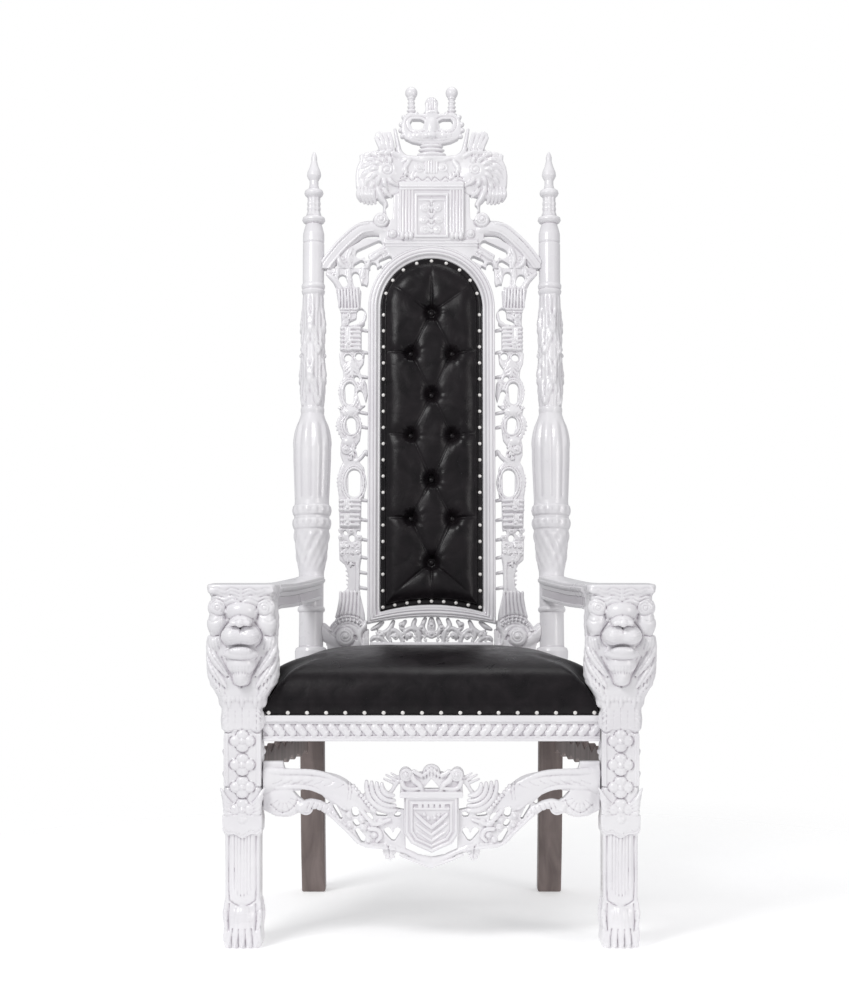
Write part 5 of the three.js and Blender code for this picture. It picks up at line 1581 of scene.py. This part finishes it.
# ---------- tufted back pad ----------
CENTRE_ROWS = (731, 545, 355, 171)
SIDE_ROWS = (639, 454, 268)
BUTTON_U = 46
BUTTONS = [(0, v) for v in CENTRE_ROWS]
BUTTONS += [(side * BUTTON_U, v) for v in SIDE_ROWS for side in (-1, 1)]
PLEATS = []
for k, v in enumerate(SIDE_ROWS):
    for side in (-1, 1):
        PLEATS.append(((0, CENTRE_ROWS[k]), (side * BUTTON_U, v)))
        PLEATS.append(((side * BUTTON_U, v), (0, CENTRE_ROWS[k + 1])))
        PLEATS.append(((side * BUTTON_U, v), (side * 104, v + 4)))
for side in (-1, 1):
    PLEATS.append(((0, CENTRE_ROWS[0]), (side * 84, 790)))
    PLEATS.append(((0, CENTRE_ROWS[-1]), (side * 78, 106)))
PLEATS.append(((0, CENTRE_ROWS[0]), (0, 838)))
PLEATS.append(((0, CENTRE_ROWS[-1]), (0, 92)))


def pad_depth(u, v, edge):
    """How far the pad's face stands in front of the boards' middle, edge being the way in from its rim."""
    band = 21 - 1.5 * smooth_step(0, 9, edge)
    swell = np.clip((edge - 11) / 34, 0, 1)
    face = band + 20 * np.sqrt(np.maximum(1 - (1 - swell) ** 2, 0))
    face += 2.2 * np.exp(-((edge - 12.5) / 1.8) ** 2)
    inside = smooth_step(10, 24, edge)
    for (u0, v0), (u1, v1) in PLEATS:
        du, dv = u1 - u0, v1 - v0
        t = np.clip(((u - u0) * du + (v - v0) * dv) / (du * du + dv * dv), 0, 1)
        gap = np.hypot(u - u0 - t * du, v - v0 - t * dv)
        fade = 1 - 0.75 * t if abs(u1) > 60 or v1 > 800 or v1 < 100 else 1 - 0.45 * np.sin(np.pi * t)
        face -= inside * fade * (4.2 * np.exp(-(gap / 2.6) ** 2) + 5.0 * np.exp(-(gap / 12) ** 2))
    for k, (ub, vb) in enumerate(BUTTONS):
        gap = np.hypot(u - ub, v - vb)
        turn = np.arctan2(v - vb, u - ub)
        face -= 12 * np.exp(-(gap / 15) ** 2)
        ray = np.cos(9 * turn + 1.7 * k) + 0.6 * np.cos(14 * turn + 2.9 * k)
        face += inside * 0.9 * ray * np.exp(-(gap / 26) ** 2) * smooth_step(6, 16, gap)
    face += inside * 0.7 * np.sin(u * 0.11 + 1.3 * np.sin(v * 0.021)) * np.sin(v * 0.043 + 0.8)
    return np.maximum(face, 14)


def rim_distance(u, v):
    """The way in from the pad's arched rim."""
    half = PAD_HALF - 0.4
    sides = half - np.abs(u)
    arch = half - np.hypot(u, v - PAD_ARCH_V)
    foot = v - (PAD_FOOT_V + PAD_FOOT_RISE * (1 - (u / half) ** 2))
    return np.minimum(np.where(v > PAD_ARCH_V, arch, sides), foot)


def tufted_pad():
    step = 2.0
    work = Field((-116, -50, 58), (116, 14, 862), step)
    y = work.axes[1][None, :, None]
    flat_u, flat_v = np.meshgrid(work.axes[0], work.axes[2], indexing="ij")
    edge = rim_distance(flat_u, flat_v)
    depth = pad_depth(flat_u, flat_v, edge)
    slope = np.hypot(*np.gradient(depth, step))
    face = (-y - depth[:, None, :]) / np.sqrt(1 + slope ** 2)[:, None, :]
    work.value = np.maximum(np.maximum(face, -edge[:, None, :]), y - 12).astype(np.float32)
    return surface(work.value, work.low, step)


pad = make_mesh("tufted_pad", *tufted_pad(), BACK_PLACE, keep=0.24)
dress(pad, "black_vinyl", "back_pad")


# ---------- buttons and nails ----------
# radius and rise in metres
BUTTON_SIZE = (0.0072, 0.0045)
NAIL_SIZE = (0.0042, 0.0028)


def studs(name, spots, radius, rise, slot, around=16, rows=5):
    """Many small domes as one piece: each spot is a place and the way it faces."""
    points = []
    faces = []
    for place, facing in spots:
        turn = Vector((0, 0, 1)).rotation_difference(Vector(facing)).to_matrix()
        start = len(points)
        for r in range(rows):
            angle = r / rows * math.pi / 2
            for c in range(around):
                way = 2 * math.pi * c / around
                p = Vector((radius * math.cos(angle) * math.cos(way),
                            radius * math.cos(angle) * math.sin(way),
                            rise * math.sin(angle)))
                points.append(tuple(Vector(place) + turn @ p))
        points.append(tuple(Vector(place) + turn @ Vector((0, 0, rise))))
        points.append(tuple(Vector(place) + turn @ Vector((0, 0, -rise * 0.8))))
        top, foot = len(points) - 2, len(points) - 1
        faces += [tuple(start + i for i in quad) for quad in grid_faces(rows, around)]
        for c in range(around):
            c2 = (c + 1) % around
            last = start + (rows - 1) * around
            faces.append((last + c, last + c2, top))
            faces.append((start + c2, start + c, foot))
    data = bpy.data.meshes.new(name)
    data.from_pydata(points, [], faces)
    shade_smooth(data)
    return dress(new_object(name, data), slot)


def back_spot(u, w, v):
    return tuple(BACK_PLACE @ Vector((u, -w, v)))


BACK_FACING = tuple((BACK_PLACE.to_3x3() @ Vector((0, -1, 0))).normalized())
button_spots = []
for u, v in BUTTONS:
    depth = float(pad_depth(np.array(float(u)), np.array(float(v)),
                            np.array(rim_distance(float(u), float(v)))))
    button_spots.append((back_spot(u, depth - 0.5, v), BACK_FACING))
studs("pad_buttons", button_spots, *BUTTON_SIZE, "black_vinyl")

NAIL_INSET = 6
NAIL_RADIUS = PAD_HALF - NAIL_INSET
rim_nails = []
for side in (-1, 1):
    for k in range(19):
        rim_nails.append((side * NAIL_RADIUS, 72 + 36.4 * k))
for k in range(1, 10):
    angle = math.pi * k / 10
    rim_nails.append((NAIL_RADIUS * math.cos(angle), PAD_ARCH_V + NAIL_RADIUS * math.sin(angle)))
for k in range(7):
    u = -81 + 27 * k
    rim_nails.append((u, PAD_FOOT_V + PAD_FOOT_RISE * (1 - (u / PAD_HALF) ** 2) + NAIL_INSET))
studs("pad_nails", [(back_spot(u, 20, v), BACK_FACING) for u, v in rim_nails], *NAIL_SIZE, "nailhead", 12, 3)


# ---------- domed seat ----------
SEAT_FRONT = -316
SEAT_REAR = 178
SEAT_HALF_FRONT = 352
SEAT_LEAN = 66 / 494
NAIL_Z = RAIL_TOP + 5
NAIL_PITCH = 37


def seat_half(y):
    """Half the seat's width at the depth y."""
    return SEAT_HALF_FRONT - SEAT_LEAN * (y - SEAT_FRONT)


def corner_room(x, y, middle, half, rounding):
    """Distance from a rounded square, positive outside."""
    qx = np.abs(np.abs(x) - middle[0]) - half[0] + rounding
    qy = np.abs(y - middle[1]) - half[1] + rounding
    outside = np.hypot(np.maximum(qx, 0), np.maximum(qy, 0))
    return outside + np.minimum(np.maximum(qx, qy), 0) - rounding


def domed_seat():
    work = Field((-356, -322, RAIL_TOP - 2), (356, 184, SEAT_CROWN + 8), 3.0)
    x, y, z = np.meshgrid(*work.axes, indexing="ij", sparse=True)
    side = (seat_half(y) - np.abs(x)) / math.hypot(1, SEAT_LEAN)
    around = soft_min(soft_min(side, y - SEAT_FRONT, 46.0), SEAT_REAR - y, 30.0)
    # the legs' collars widen upwards, so the notch does too
    leg_half = np.interp(work.axes[2], [440, 463, 488, 514, 600], [41, 41, 56, 68, 70])[None, None, :]
    leg = corner_room(x, y, (LEG_X, LEG_Y), (leg_half, leg_half - 6), 14)
    corner = corner_room(x, y, (LEG_X + 50, LEG_Y - 30), (88, 94), 8)
    post = corner_room(x, y, (POST_X + 40, 210), (76, 48), 12)
    edge = np.minimum(around, np.minimum(np.minimum(leg, corner), post))
    dome_edge = soft_min(around, soft_min(leg, post, 14.0) + 6, 14.0)
    inside = np.maximum(dome_edge, 0)
    crown = 0.45 * (1 - np.exp(-inside / 9)) + 0.59 * (1 - np.exp(-inside / 70))
    top = RAIL_TOP + 24 + (SEAT_CROWN - RAIL_TOP - 24) * crown
    top = top + 0.8 * np.sin(x * 0.021 + 0.9) * np.sin(y * 0.027) * np.minimum(inside / 60, 1)
    nails = np.cos(2 * np.pi * x / NAIL_PITCH) * np.exp(-((z - NAIL_Z) / 7) ** 2)
    wall = -edge + 4 * np.clip(1 - (z - RAIL_TOP) / 24, 0, 1) ** 2 + 0.9 * nails
    work.value = np.maximum(np.maximum((z - top) * 0.6, wall), RAIL_TOP + 0.6 - z).astype(np.float32)
    return surface(work.value, work.low, work.step)


seat = make_mesh("domed_seat", *domed_seat(), FRONT_PLACE, keep=0.16)
dress(seat, "black_vinyl", "seat_cushion")

seat_nails = []
for k in range(18):
    spot = FRONT_PLACE @ Vector(((k - 8.5) * NAIL_PITCH, SEAT_FRONT + 2.4, NAIL_Z))
    seat_nails.append((tuple(spot), (0, -1, 0)))
for word, side in SIDES:
    for k in range(10):
        y = -196 + NAIL_PITCH * k
        spot = FRONT_PLACE @ Vector((side * (seat_half(y) - 2.4), y, NAIL_Z))
        seat_nails.append((tuple(spot), (side, SEAT_LEAN, 0)))
studs("seat_nails", seat_nails, *NAIL_SIZE, "nailhead", 12, 3)


# ---------- floor and soft studio light ----------
floor_mesh = bpy.data.meshes.new("floor")
floor_mesh.from_pydata([(-40, -40, 0), (40, -40, 0), (40, 40, 0), (-40, 40, 0)], [], [(0, 1, 2, 3)])
floor_mesh.materials.append(pale_floor())
floor = new_object("floor", floor_mesh)

world = bpy.data.worlds.new("studio")
world.use_nodes = True
sky = world.node_tree
sky.nodes["Background"].inputs["Color"].default_value = (0.97, 0.975, 1.0, 1)
sky.nodes["Background"].inputs["Strength"].default_value = 0.50
backdrop = sky.nodes.new("ShaderNodeBackground")
backdrop.inputs["Color"].default_value = (1, 1, 1, 1)
backdrop.inputs["Strength"].default_value = 1.0
seen = sky.nodes.new("ShaderNodeLightPath")
choice = sky.nodes.new("ShaderNodeMixShader")
sky.links.new(seen.outputs["Is Camera Ray"], choice.inputs["Fac"])
sky.links.new(sky.nodes["Background"].outputs["Background"], choice.inputs[1])
sky.links.new(backdrop.outputs["Background"], choice.inputs[2])
sky.links.new(choice.outputs["Shader"], sky.nodes["World Output"].inputs["Surface"])
bpy.context.scene.world = world
bpy.context.scene.view_settings.view_transform = "Standard"


def softbox(name, place, aim, size, power, colour=(1, 1, 1)):
    data = bpy.data.lights.new(name, "AREA")
    data.energy = power
    data.color = colour
    data.shape = "RECTANGLE"
    data.size, data.size_y = size
    lamp = new_object(name, data)
    lamp.location = place
    lamp.rotation_euler = (Vector(aim) - Vector(place)).to_track_quat("-Z", "Y").to_euler()


softbox("key", (-1.7, -2.4, 2.9), (0, 0, 0.9), (1.1, 1.1), 62)
softbox("fill", (2.4, -2.4, 1.6), (0, 0, 0.9), (0.9, 1.4), 20, (1.0, 0.97, 0.96))
softbox("top", (0.2, 0.5, 3.6), (0, 0, 1.0), (1.6, 0.9), 12)
